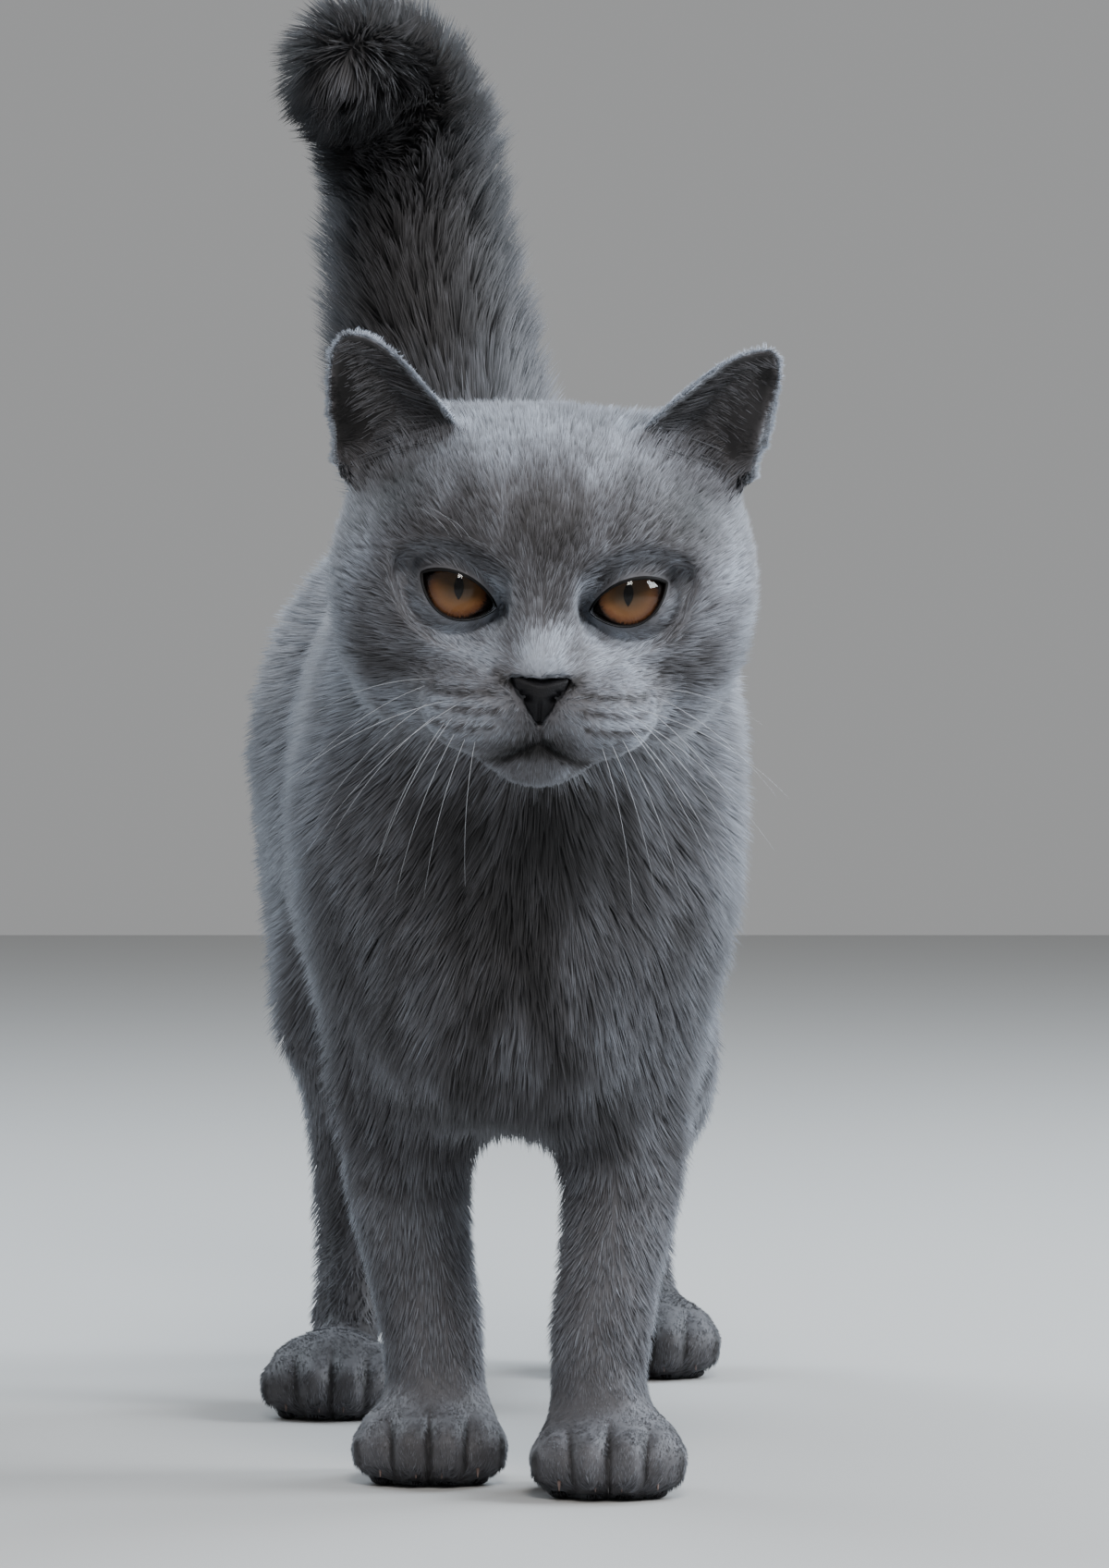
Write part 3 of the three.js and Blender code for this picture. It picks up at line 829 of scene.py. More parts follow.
# Tones of the other markings, added to the coat's middle grey. Some are painted light and shade rather than
# markings: the shade above the eyes, in the nose's creases, under the chin, down the tail and between the
# toes, and the light under the eyes and on the fore legs.
TONE = dict(
    face=0.07, spot=-0.42, crease_shade=-0.5, mouth=-0.42, lid=-0.05, lower_lid_light=0.09, under_chin_shadow=-0.30, parting=-0.25,
    locks=0.12, brisket=-0.17, tail=-0.18, tail_side_shade=-0.16, bar=-0.10, fore_leg=0.06, outer_leg_light=0.14,
    toe_split_shade=-0.24, paw=-0.05,
)
CHEST_MIDDLE, LEGS_MIDDLE = 0.004, 0.008  # the chest and the fore legs stand this far to the left, m


def face_marks_and_painted_light(points):
    """Tones of the marks on the face, with painted shade in the nose's creases and above the eyes, and
    painted light under them.
    """
    across, forward, up = to_head(points).T
    out = np.abs(across)
    total = 0
    for o, u, w, h, tone in HEAD_SPOTS:
        total = total + tone * np.exp(-((out - o) / w) ** 2 - ((up - u) / h) ** 2)
    for row, first in SPOT_ROWS:
        for index in range(SPOTS_IN_ROW):
            aside, above = out - first - SPOT_STEP[0] * index, up - row - SPOT_STEP[1] * index
            spot = np.exp(-(aside / 1.25) ** 2 - (above / 0.75) ** 2)
            total = total + TONE["spot"] * spot * smooth(forward, 30, 36)
    o, u, w, h, tone = BRIDGE
    total = total + tone * np.exp(-((out - o) / w) ** 4 - ((up - u) / h) ** 4)
    # Painted shade: a dark line along each crease running out and up from the corner of the nose leather.
    start, end = np.array(ALAR_CREASE)
    flat = np.stack([out, up], axis=1) - start
    t = np.clip(flat @ (end - start) / ((end - start) @ (end - start)), 0, 1)
    crease_shade = bell(np.linalg.norm(flat - t[:, None] * (end - start), axis=1), 0, 0.75)
    total = total + TONE["crease_shade"] * crease_shade * (1 - 0.6 * t)
    mouth = bell(up - mouth_line(across), 0, 1.8) * (1 - smooth(out, 8, 17)) * smooth(forward, 36, 42)
    # Painted shade of the brow, in a band just above the upper lids.
    lid = bell(beside_eyes(points), 9.0, 2.4) * smooth(up - EYE_UP, -1, 5)
    # Paler fur under the lower lids, with painted light that lifts the shade of the lids' downward slope.
    lower_lid_light = bell(beside_eyes(points), 10.5, 2.6) * smooth(EYE_UP - up, -1, 4)
    mottle = 0.10 * noise(points * [1, 1, 0.55], 3.2 * MM, 9) + 0.06 * noise(points, 8 * MM, 21)
    total = total + TONE["face"] + mottle
    return total + TONE["mouth"] * mouth + TONE["lid"] * lid + TONE["lower_lid_light"] * lower_lid_light


def locks(points):
    """Streaks from -1 to 1 along the coat, which hangs on the chest and lies backwards elsewhere."""
    hanging = noise(points * [1, 1, 0.3], 4.2 * MM, 41) + 0.7 * noise(points * [1, 1, 0.35], 9 * MM, 43)
    lying = 0.6 * noise(points * [1, 0.3, 0.8], 4.2 * MM, 47)
    return mix(lying, hanging, smooth(-points[:, 1], 0.08, 0.14))


def toe_splits(points):
    """1 in the splits between the toes, which the tone darkens with painted shade."""
    total = 0
    for name in PAWS:
        across, behind, height, here = in_paw(name, points, 20, 14)
        total = total + smooth(from_toe(across), 0.72, 1.0) * here * (1 - smooth(height, 13, 19))
    return total


def markings_and_painted_light(points):
    """How light the coat is at each point: 0 is its middle grey, positive lighter, negative darker. Besides
    the coat's markings it holds painted shade under the chin, down the tail and between the toes, and
    painted light on the fore legs.
    Places on the head are in mm, places on the body in metres."""
    across, forward, up = to_head(points).T
    x, y, z = points.T
    x = x - CHEST_MIDDLE
    face = smooth(forward, 6, 22) * smooth(up, -46, -40)
    body = 1 - face
    front = (y < -0.10) * smooth(z, 0.07, 0.10)
    in_parting = (np.abs(x) - 0.012 * smooth(0.16 - z, 0, 0.05)) / 0.005
    fore_legs = (1 - smooth(z, 0.075, 0.115)) * (y < -0.05)
    tail = smooth(y, 0.12, 0.15) * smooth(z, 0.26, 0.30)
    parts = {
        # painted shadow under the chin, darkening the throat
        "under_chin_shadow": np.exp(-((across / 24) ** 2)) * bell(z, 0.178, 0.030) * body * (y < -0.12),
        "parting": front * np.exp(-in_parting ** 2) * bell(z, 0.137, 0.020) * body,
        "locks": locks(points) * body * smooth(z, 0.05, 0.11),
        "brisket": front * bell(z, 0.10, 0.024) * bell(x, 0, 0.034),
        # painted shade: the whole tail darker, and darker still along a band down it
        "tail": tail,
        "tail_side_shade": tail * bell(x, -0.024, 0.027),
        # painted light: the fore legs lighter for light thrown up from the floor, and lighter still on
        # their outer sides, where light falls
        "fore_leg": fore_legs,
        "outer_leg_light": fore_legs * smooth(np.abs(points[:, 0] - LEGS_MIDDLE) / MM, 36, 50),
        # painted shade in the splits between the toes
        "toe_split_shade": toe_splits(points),
        "paw": 1 - smooth(z, 0.024, 0.040),
    }
    tone = sum(size * noise(points, scale * MM, seed) for size, scale, seed in BLOTCHES)
    tone = tone + face * face_marks_and_painted_light(points) + sum(TONE[name] * amount for name, amount in parts.items())
    waver = 0.002 * noise(points, 12 * MM, 31)
    for height in FOREARM_BARS:
        tone = tone + TONE["bar"] * bell(z, height + waver, 0.0035) * (y < -0.09)
    return tone


# ---- unwrap, kept for the coat's own maps

def unwrap(mesh):
    """Gives the skin its OFBake map and returns the map's place at each corner of each triangle."""
    piece = new_object("unwrapping", mesh)
    for other in bpy.context.selected_objects:
        other.select_set(False)
    bpy.context.view_layer.objects.active = piece
    piece.select_set(True)
    mesh.uv_layers.new(name="OFBake")
    bpy.ops.object.mode_set(mode="EDIT")
    bpy.ops.mesh.select_all(action="SELECT")
    bpy.ops.uv.smart_project(angle_limit=math.radians(66), island_margin=0.002)
    bpy.ops.object.mode_set(mode="OBJECT")
    places = read(mesh.uv_layers["OFBake"].data, "uv", 2)
    mesh.calc_loop_triangles()
    loops = read(mesh.loop_triangles, "loops", 3, np.int64)
    piece.select_set(False)
    bpy.data.objects.remove(piece)
    return places[loops]


corner_uv = unwrap(skin.mesh)


# ---- materials

def put(node, values):
    """Sets a node's sockets by name."""
    for socket, value in values.items():
        node.inputs[socket].default_value = value


class Nodes:
    """Short calls for building a material's nodes."""

    def __init__(self, name, shader):
        self.material = bpy.data.materials.new(name)
        self.material.use_nodes = True
        self.tree = self.material.node_tree
        self.shader = self.tree.nodes["Principled BSDF"]
        put(self.shader, shader)

    def add(self, kind, sockets=None, **settings):
        node = self.tree.nodes.new(kind)
        for key, value in settings.items():
            setattr(node, key, value)
        put(node, sockets or {})
        return node

    def link(self, source, target):
        self.tree.links.new(source, target)

    def value(self, name):
        return self.add("ShaderNodeAttribute", attribute_name=name).outputs["Fac"]

    def math(self, operation, *inputs):
        node = self.add("ShaderNodeMath", operation=operation)
        for index, value in enumerate(inputs):
            if isinstance(value, (int, float)):
                node.inputs[index].default_value = value
            else:
                self.link(value, node.inputs[index])
        return node.outputs[0]

    def between(self, value, start, end, lowest=0.0):
        """Lowest where the value is start, 1 where it is end, and level beyond them."""
        node = self.add("ShaderNodeMapRange", {"From Min": start, "From Max": end, "To Min": lowest})
        self.link(value, node.inputs["Value"])
        return node.outputs[0]

    def ramp(self, factor, stops):
        node = self.add("ShaderNodeValToRGB")
        elements = node.color_ramp.elements
        while len(elements) < len(stops):
            elements.new(0.5)
        for element, (position, colour) in zip(elements, stops):
            element.position = position
            element.color = (*colour, 1)
        self.link(factor, node.inputs["Fac"])
        return node.outputs["Color"]

    def colour(self, source):
        self.link(source, self.shader.inputs["Base Color"])


COAT_STOPS = [
    (0.0, (0.008, 0.0075, 0.0078)), (0.3, (0.046, 0.0435, 0.0455)), (0.5, (0.108, 0.106, 0.116)),
    (0.7, (0.213, 0.222, 0.250)), (1.0, (0.48, 0.53, 0.62)),
]
IRIS_STOPS = [  # from the pupil out to the rim
    (0.0, (0.052, 0.034, 0.018)), (0.25, (0.085, 0.048, 0.021)), (0.60, (0.145, 0.067, 0.024)),
    (0.80, (0.095, 0.036, 0.013)), (0.93, (0.008, 0.004, 0.003)),
]
IRIS = dict(radius=8.1, plane=6.6, dish=0.5, back=0.35, pupil_half_width=1.0, pupil_half_height=2.7)
CORNEA = dict(rim=8.8, bulge=1.35)
BUMP_DEPTH = 0.4 * MM


def fur_material(name, root, tip):
    """The coat's grey ramp read by the tone attribute, darker at a tuft's root with painted shade among the
    hairs, and lighter at its tip.
    """
    nodes = Nodes(name, {
        "Roughness": 0.62, "Specular IOR Level": 0.3,
        "Sheen Weight": 0.22, "Sheen Roughness": 0.4, "Sheen Tint": (0.86, 0.92, 1, 1),
    })
    root_shade_and_tip = nodes.math("MULTIPLY_ADD", nodes.value("along"), tip - root, root)
    level = nodes.math("ADD", nodes.math("ADD", nodes.value("tone"), root_shade_and_tip), 0.5)
    nodes.colour(nodes.ramp(level, COAT_STOPS))
    return nodes.material


def eye_material():
    """Copper iris with fine rays, a dark rim, an upright slit pupil and painted shadow of the upper lid
    over its top, by the place on the iris in mm.
    """
    nodes = Nodes("iris", {"Roughness": 0.6, "Specular IOR Level": 0.05})
    place = nodes.add("ShaderNodeAttribute", attribute_name="eye_place")
    parts = nodes.add("ShaderNodeSeparateXYZ")
    nodes.link(place.outputs["Vector"], parts.inputs[0])
    u, v, depth = parts.outputs
    squares = nodes.math("ADD", nodes.math("MULTIPLY", u, u), nodes.math("MULTIPLY", v, v))
    radius = nodes.math("SQRT", squares)
    rays = nodes.add("ShaderNodeCombineXYZ")
    nodes.link(nodes.math("MULTIPLY", nodes.math("ARCTAN2", v, u), 9.0), rays.inputs[0])
    nodes.link(nodes.math("MULTIPLY", radius, 0.35), rays.inputs[1])
    fibre = nodes.add("ShaderNodeTexNoise", {"Scale": 2.2, "Detail": 4})
    nodes.link(rays.outputs[0], fibre.inputs["Vector"])
    level = nodes.math("MULTIPLY", radius, 1 / IRIS["radius"])
    level = nodes.math("MULTIPLY_ADD", nodes.math("SUBTRACT", fibre.outputs["Fac"], 0.5), 0.34, level)
    aside = nodes.math("ABSOLUTE", nodes.math("MULTIPLY", u, 1 / IRIS["pupil_half_width"]))
    above = nodes.math("POWER", nodes.math("MULTIPLY", v, 1 / IRIS["pupil_half_height"]), 2.0)
    outside_pupil = nodes.between(nodes.math("ADD", aside, above), 0.9, 1.12)
    # Painted shadow of the upper lid: the iris darker towards its top.
    upper_lid_shadow = nodes.between(v, 5.0, -3.5, lowest=0.24)
    in_front = nodes.math("GREATER_THAN", depth, 4.0)
    shade = nodes.math("MULTIPLY", nodes.math("MULTIPLY", outside_pupil, upper_lid_shadow), in_front)
    scaled = nodes.add("ShaderNodeVectorMath", operation="SCALE")
    nodes.link(nodes.ramp(level, IRIS_STOPS), scaled.inputs[0])
    nodes.link(shade, scaled.inputs["Scale"])
    nodes.colour(scaled.outputs[0])
    return nodes.material


def clear_material():
    glass = {"Base Color": (1, 1, 1, 1), "Roughness": 0.02, "IOR": 1.34, "Transmission Weight": 1.0}
    return Nodes("cornea", glass).material


def plain_material(name, colour, roughness, bump=0.0, bump_scale=1.0):
    """One colour, mottled a little by noise, with a fine bump."""
    nodes = Nodes(name, {"Roughness": roughness, "Specular IOR Level": 0.25})
    grain = nodes.add("ShaderNodeTexNoise", {"Scale": bump_scale, "Detail": 3})
    coordinates = nodes.add("ShaderNodeTexCoord")
    nodes.link(coordinates.outputs["Object"], grain.inputs["Vector"])
    light, dark = [tuple(c * k for c in colour) for k in (1.25, 0.75)]
    nodes.colour(nodes.ramp(grain.outputs["Fac"], [(0.3, dark), (0.7, light)]))
    if bump:
        relief = nodes.add("ShaderNodeBump", {"Strength": bump, "Distance": BUMP_DEPTH})
        nodes.link(grain.outputs["Fac"], relief.inputs["Height"])
        nodes.link(relief.outputs["Normal"], nodes.shader.inputs["Normal"])
    return nodes.material


fur = fur_material("fur", -0.12, 0.14)
# The skin under the coat: its darker tone is painted shade between the hairs.
under = fur_material("underfur", -0.07, 0.07)


# ---- the skin's piece

def set_float(mesh, name, values):
    mesh.attributes.new(name, "FLOAT", "POINT").data.foreach_set("value", values.astype(np.float32))


set_float(skin.mesh, "tone", markings_and_painted_light(skin.co) + ear_tone_and_painted_light)
set_float(skin.mesh, "along", np.zeros(len(skin.co)))
skin_piece = new_object("skin", skin.mesh, under)
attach(skin_piece, "root")
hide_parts(*FLESH)


# ---- tufts

PATCH = 0.0015  # half the width of a tuft's place on its OFBake map
SHORTEST, LONGEST = 0.72, 1.18  # range of the tufts' lengths
SOFTNESS = 0.68  # how far a tuft is shaded like the skin under it
BOW = 0.7  # how much a tuft of many rings is bowed outwards
ROOT_DEPTH = 0.4 * MM  # how far the tufts reach into the skin
FLOOR_GAP = 0.4 * MM  # how far the tips stay over the floor
TONE_SPREAD = 0.07  # of a tuft's own tone
RING = ((-1, -0.3), (1, -0.3), (0, 0.6))  # a tuft's three points: across and out, in half widths


class Roots:
    """Random roots on the skin, denser where the density field is higher, with the skin's fields there."""

    def __init__(self, density, where, ways):
        a, b, c = (skin.co[skin.tri[:, i]] for i in range(3))
        area = np.linalg.norm(np.cross(b - a, c - a), axis=1) / 2 / MM ** 2
        weight = area * (density * where)[skin.tri].mean(axis=1)
        expected = weight.sum() * thin
        self.tri = rng.choice(len(skin.tri), size=int(expected), p=weight / weight.sum())
        u = rng.random((len(self.tri), 2))
        u = np.where(u.sum(axis=1, keepdims=True) > 1, 1 - u, u)
        self.share = np.stack([1 - u.sum(axis=1), u[:, 0], u[:, 1]], axis=1)
        self.corners = skin.tri[self.tri]
        self.place = self.at(skin.co)
        self.normal = unit(self.at(normal))
        self.way = flattened(self.at(ways), self.normal)
        self.uv = (corner_uv[self.tri] * self.share[:, :, None]).sum(axis=1)
        self.tone = markings_and_painted_light(self.place) + self.at(ear_tone_and_painted_light)

    def at(self, values):
        """A field given at the skin's vertices, at the roots."""
        return np.einsum("ij,ij...->i...", self.share, values[self.corners])

    def recolour(self, tone, spread):
        self.tone = tone + rng.normal(0, spread, len(self.tone))


def gathered(roots, tips, spacing, amount):
    """Draws the tips of neighbouring tufts together into locks about spacing apart."""
    cells = np.unique(np.floor(roots.place / spacing).astype(np.int64), axis=0, return_index=True)[1]
    leader = cells[nearest_of(roots.place[cells], roots.place)]
    return tips + (roots.place[leader] + (tips - roots.place)[leader] - tips) * amount


def tuft_vertices(roots, fields, rings, looseness, lock, lock_amount):
    """Rings of three points and a tip for each root."""
    count = len(roots.place)
    length = roots.at(fields["length"]) * MM * rng.uniform(fields.get("shortest", SHORTEST), LONGEST, count)
    lift = np.radians(roots.at(fields["lift"]) * rng.uniform(0.6, 1.35, count))
    width = roots.at(fields["width"]) * MM * rng.uniform(0.75, 1.3, count)
    wander = noise_vector(roots.place, 9 * MM, 11) * 0.6 + noise_vector(roots.place, 26 * MM, 17)
    way = roots.way + (wander + rng.normal(0, 0.35, (count, 3))) * looseness
    way = flattened(way, roots.normal)
    side = np.cross(roots.normal, way)
    run, rise = (length * np.cos(lift))[:, None], (length * np.sin(lift))[:, None]
    tips = roots.place + way * run + roots.normal * rise
    tips = gathered(roots, tips, 2.5 * lock * MM, 0.15)
    tips = gathered(roots, tips, lock * MM, lock_amount)
    tips[:, 2] = np.maximum(tips[:, 2], FLOOR_GAP)
    points = []
    for height in ring_heights(rings):
        below = ROOT_DEPTH if height == 0 else 0
        middle = roots.place + (tips - roots.place) * height - roots.normal * below
        middle = middle + roots.normal * rise * height * (1 - height) * BOW
        half = (width * (1 - height * 0.35) / 2)[:, None]
        points += [middle + side * across * half + roots.normal * out * half for across, out in RING]
    return np.stack([*points, tips], axis=1).reshape(-1, 3)


def ring_heights(rings):
    """Where a tuft's rings stand, from its root (0) to its tip (1)."""
    return np.arange(rings) / max(rings, 2)


def tuft_faces(rings):
    """Triangles of one tuft: its root, its sides and its point."""
    faces = [(0, 2, 1)]
    for ring in range(rings - 1):
        for i in range(3):
            a, b = ring * 3 + i, ring * 3 + (i + 1) % 3
            faces += [(a, b, b + 3), (a, b + 3, a + 3)]
    top = (rings - 1) * 3
    return np.array(faces + [(top + i, top + (i + 1) % 3, top + 3) for i in range(3)])


def triangle_mesh(name, vertices, faces):
    mesh = bpy.data.meshes.new(name)
    mesh.vertices.add(len(vertices))
    mesh.vertices.foreach_set("co", vertices.astype(np.float32).ravel())
    mesh.loops.add(len(faces) * 3)
    mesh.loops.foreach_set("vertex_index", faces.astype(np.int32).ravel())
    mesh.polygons.add(len(faces))
    mesh.polygons.foreach_set("loop_start", np.arange(0, len(faces) * 3, 3, dtype=np.int32))
    mesh.update(calc_edges=True)
    mesh.shade_smooth()
    return mesh


def soften(mesh, skin_normals, softness):
    own = read(mesh.vertices, "normal", 3)
    mesh.normals_split_custom_set_from_vertices(unit(mix(own, skin_normals, softness)))


def coat_piece(name, roots, fields, rings, looseness, lock, lock_amount):
    """One joined mesh of tufts, each with so many rings of three points and a tip."""
    vertices = tuft_vertices(roots, fields, rings, looseness, lock, lock_amount)
    count, each = len(roots.place), 3 * rings + 1
    starts = np.arange(count) * each
    faces = (tuft_faces(rings)[None] + starts[:, None, None]).reshape(-1, 3)
    mesh = triangle_mesh(name, vertices, faces)
    set_float(mesh, "tone", np.repeat(roots.tone + rng.normal(0, TONE_SPREAD, count), each))
    set_float(mesh, "along", np.tile(np.append(np.repeat(ring_heights(rings), 3), 1.0), count))
    shape = np.array([(-1, 0), (1, 0), (0, 1)] * rings + [(0, 0)], float)
    uv = np.clip(roots.uv, PATCH, 1 - PATCH)[:, None] + shape[None] * PATCH * 0.9
    layer = mesh.uv_layers.new(name="OFBake")
    layer.data.foreach_set("uv", uv.reshape(-1, 2)[faces.ravel()].astype(np.float32).ravel())
    soften(mesh, np.repeat(roots.normal, each, axis=0), fields.get("softness", SOFTNESS))
    piece = new_object(name, mesh, fur)
    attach(piece, "root")


# ---- the coat's pieces

PIECES = (
    # name, regions, slices across x, looseness, lock spacing in mm, lock amount
    ("coat_head", ("head",), 2, 0.12, 3.0, 0.28),
    ("coat_ears", ("ear",), 1, 0.10, 3.0, 0.10),
    ("coat_neck", ("neck",), 1, 0.17, 3.6, 0.34),
    ("coat_front", ("trunk_front",), 2, 0.17, 3.8, 0.34),
    ("coat_rear", ("trunk_rear",), 2, 0.16, 4.2, 0.30),
    ("coat_tail", ("tail",), 1, 0.28, 4.5, 0.45),
    ("coat_fore_leg", ("fore_leg", "fore_paw"), 2, 0.10, 3.0, 0.12),
    ("coat_hind_leg", ("hind_leg", "hind_paw"), 2, 0.10, 3.4, 0.12),
)
MIDDLE_X = {  # where the pieces in two slices are parted, m
    "coat_head": head_middle[0], "coat_front": CHEST_MIDDLE, "coat_rear": 0,
    "coat_fore_leg": CHEST_MIDDLE, "coat_hind_leg": 0,
}
EAR_SOFTNESS = 0.2
STRANDS = dict(density=5.5, lift=8, width=0.21, tone=-0.10)  # long hairs across the hollow of each ear
STRAND_SPAN = (0.92, 3, 21)  # their length as a share of the way to the outer edge, and its limits in mm
# The fringe's pale tone is pale hair with painted rim light.
FRINGE = dict(density=22, length=2.2, lift=16, width=0.18, tone=0.42)  # pale hairs round each ear's rim


def in_opening(points):
    """1 where the skin is hidden behind the eyes or lies on the lids' edges."""
    outline = lid_outline(80)
    hidden = np.zeros(len(points), bool)
    for side in SIDES:
        local = to_eye(side, points)
        gap = np.linalg.norm(local[:, None, :2] - outline[None], axis=2).min(axis=1)
        ball = (local[:, 2] > 0) & (np.linalg.norm(local, axis=1) < 14)
        hidden |= ball & (inside_lids(*local[:, :2].T) | (gap < 0.8))
    return hidden


def add_coat():
    for name, regions, slices, looseness, lock, amount in PIECES:
        fields = dict(coat, softness=EAR_SOFTNESS) if name == "coat_ears" else coat
        for side in ("right", "left")[:slices]:
            where = sum(share[region] for region in regions)
            if slices == 2:
                where = where * ((skin.co[:, 0] > MIDDLE_X[name]) == (side == "left"))
            roots = Roots(coat["density"], where, lie)
            piece_name = f"{name}_{side}" if slices == 2 else name
            coat_piece(piece_name, roots, fields, 1, looseness, lock, amount)


def add_ear_hair():
    """Long strands across each ear's hollow from its inner edge, and the pale fringe round the ear, pale
    hair with painted rim light.
    """
    even = np.ones(len(skin.co))
    start = smooth(ears.facing, 0.1, 0.4) * (1 - smooth(ears.spread, -0.4, 0.7))
    start = start * (ears.border > HOLLOW_START) * smooth(ears.rise, 0.06, 0.2)
    part, shortest, longest = STRAND_SPAN
    reach = np.clip(part * (1 - ears.spread) / 2 * ears.width, shortest, longest)
    fields = {key: STRANDS[key] * even for key in ("lift", "width")}
    roots = Roots(STRANDS["density"] * even, share["ear"] * start, ears.sweep)
    roots.recolour(STRANDS["tone"], 0.09)
    fields = dict(fields, length=reach, shortest=0.35, softness=EAR_SOFTNESS)
    coat_piece("coat_ear_strands", roots, fields, 3, 0.09, 3.0, 0.45)
    fields = {key: FRINGE[key] * even for key in ("length", "lift", "width")}
    roots = Roots(FRINGE["density"] * even, ears.edge, ears.away)
    roots.recolour(FRINGE["tone"], 0.06)
    coat_piece("coat_ear_rims", roots, dict(fields, softness=0.1), 1, 0.25, 1.2, 0.2)


coat["density"] = coat["density"] * (1 - in_opening(skin.co)) * (1 - on_nose(skin.co, 0.5))
add_coat()
add_ear_hair()


# ---- shapes of the small pieces

def revolved(profile, spokes):
    """Vertices and faces of a shape turned about the third axis, closed at both ends."""
    rings = [(r, w) for r, w in profile if r > 1e-6]
    angle = np.linspace(0, 2 * math.pi, spokes, endpoint=False)
    vertices = [(r * math.cos(t), r * math.sin(t), w) for r, w in rings for t in angle]
    faces = []
    for ring in range(len(rings) - 1):
        for i in range(spokes):
            j = (i + 1) % spokes
            a, b = ring * spokes, (ring + 1) * spokes
            faces.append((a + i, b + i, b + j, a + j))
    front, back = len(vertices), len(vertices) + 1
    vertices += [(0, 0, profile[0][1]), (0, 0, profile[-1][1])]
    last = (len(rings) - 1) * spokes
    faces += [(front, i, (i + 1) % spokes) for i in range(spokes)]
    faces += [(back, last + (i + 1) % spokes, last + i) for i in range(spokes)]
    return np.array(vertices, float), faces


def tube(path, radii, sides=8, closed=False):
    """Vertices and faces of a tube along a path, its ends closed."""
    path = np.asarray(path, float)
    count = len(path)
    ahead = np.roll(path, -1, axis=0) - np.roll(path, 1, axis=0)
    if not closed:
        ahead[0], ahead[-1] = path[1] - path[0], path[-1] - path[-2]
    ahead = unit(ahead)
    guide = np.array([0.3, 0.2, 0.93])  # no path here runs along it
    across = unit(np.cross(ahead, guide))
    over = np.cross(across, ahead)
    turn = np.linspace(0, 2 * math.pi, sides, endpoint=False)
    ring = across[:, None] * np.cos(turn)[None, :, None] + over[:, None] * np.sin(turn)[None, :, None]
    vertices = (path[:, None] + ring * np.asarray(radii, float).reshape(-1, 1, 1)).reshape(-1, 3)
    faces = []
    for i in range(count if closed else count - 1):
        a, b = i * sides, (i + 1) % count * sides
        faces += [(a + k, a + (k + 1) % sides, b + (k + 1) % sides, b + k) for k in range(sides)]
    if not closed:
        faces += [tuple(range(sides))[::-1], tuple((count - 1) * sides + k for k in range(sides))]
    return vertices, faces


def add_piece(name, vertices, faces, material, slot, replaces=None):
    piece = new_object(name, mesh_of(name, vertices, faces), material)
    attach(piece, "root")
    if replaces:
        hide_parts(*replaces)
    return piece


# ---- eyes

LID_RIM = dict(over=0.65, lower=0.36, upper=0.50)  # its middle over the ball and its radii, mm


def ball_profile(radius, front):
    """Radius and depth of a ball from its front to its back, with the front part's depth given by front."""
    angles = np.linspace(0, math.pi, 64)
    return [(radius * math.sin(t), front(radius * math.sin(t), radius * math.cos(t))) for t in angles]


def iris_front(r, w):
    if w > 0 and r < IRIS["radius"]:
        return IRIS["plane"] - IRIS["dish"] * (1 - (r / IRIS["radius"]) ** 2)
    return w


def cornea_front(r, w):
    if w > 0 and r < CORNEA["rim"]:
        return w + CORNEA["bulge"] * (1 - (r / CORNEA["rim"]) ** 2) ** 1.5
    return w


def eye_shape(side, radius, front, spokes):
    """Vertices in the eye's own axes in mm, and faces that look outwards."""
    local, faces = revolved(ball_profile(radius, front), spokes)
    return local, faces if side == "left" else [face[::-1] for face in faces]


def lid_rim(side):
    outline = lid_outline(120)
    forward = np.sqrt((EYE_RADIUS + LID_RIM["over"]) ** 2 - (outline ** 2).sum(axis=1))
    path = in_eye(side, np.column_stack([outline, forward]))
    radii = mix(LID_RIM["lower"], LID_RIM["upper"], smooth(outline[:, 1], -1, 4))
    return tube(path, radii * MM, closed=True)


def add_eyes():
    looks = eye_material()
    clear = clear_material()
    lid = plain_material("lid", (0.004, 0.0037, 0.004), 0.6)
    for side in SIDES:
        local, faces = eye_shape(side, EYE_RADIUS - IRIS["back"], iris_front, 128)
        iris = add_piece(f"iris_{side}", in_eye(side, local), faces, looks, "eye", [f"eye_{side}"])
        spot = iris.data.attributes.new("eye_place", "FLOAT_VECTOR", "POINT")
        spot.data.foreach_set("vector", local.astype(np.float32).ravel())
        local, faces = eye_shape(side, EYE_RADIUS, cornea_front, 96)
        cornea = add_piece(f"cornea_{side}", in_eye(side, local), faces, clear, "eye")
        cornea.visible_shadow = False
        add_piece(f"lid_rim_{side}", *lid_rim(side), lid, "nose_leather")


add_eyes()

# ---- nose leather

# How far forward the leather's middle stands in the head, mm, from its top (0) to its foot (1).
NOSE_FRONT = ([0, 0.1, 0.3, 0.55, 0.8, 1], [57.6, 58.9, 59.5, 58.7, 57.2, 56.2])
NOSE_BACK = 49
NOSTRIL = dict(out=3.9, up=-15.4, width=1.45, height=1.2, depth=3.0)
NOSTRIL_WING = dict(out=5.6, up=-14.0, width=1.5, height=0.75, slope=0.35, start=5, share=0.8)


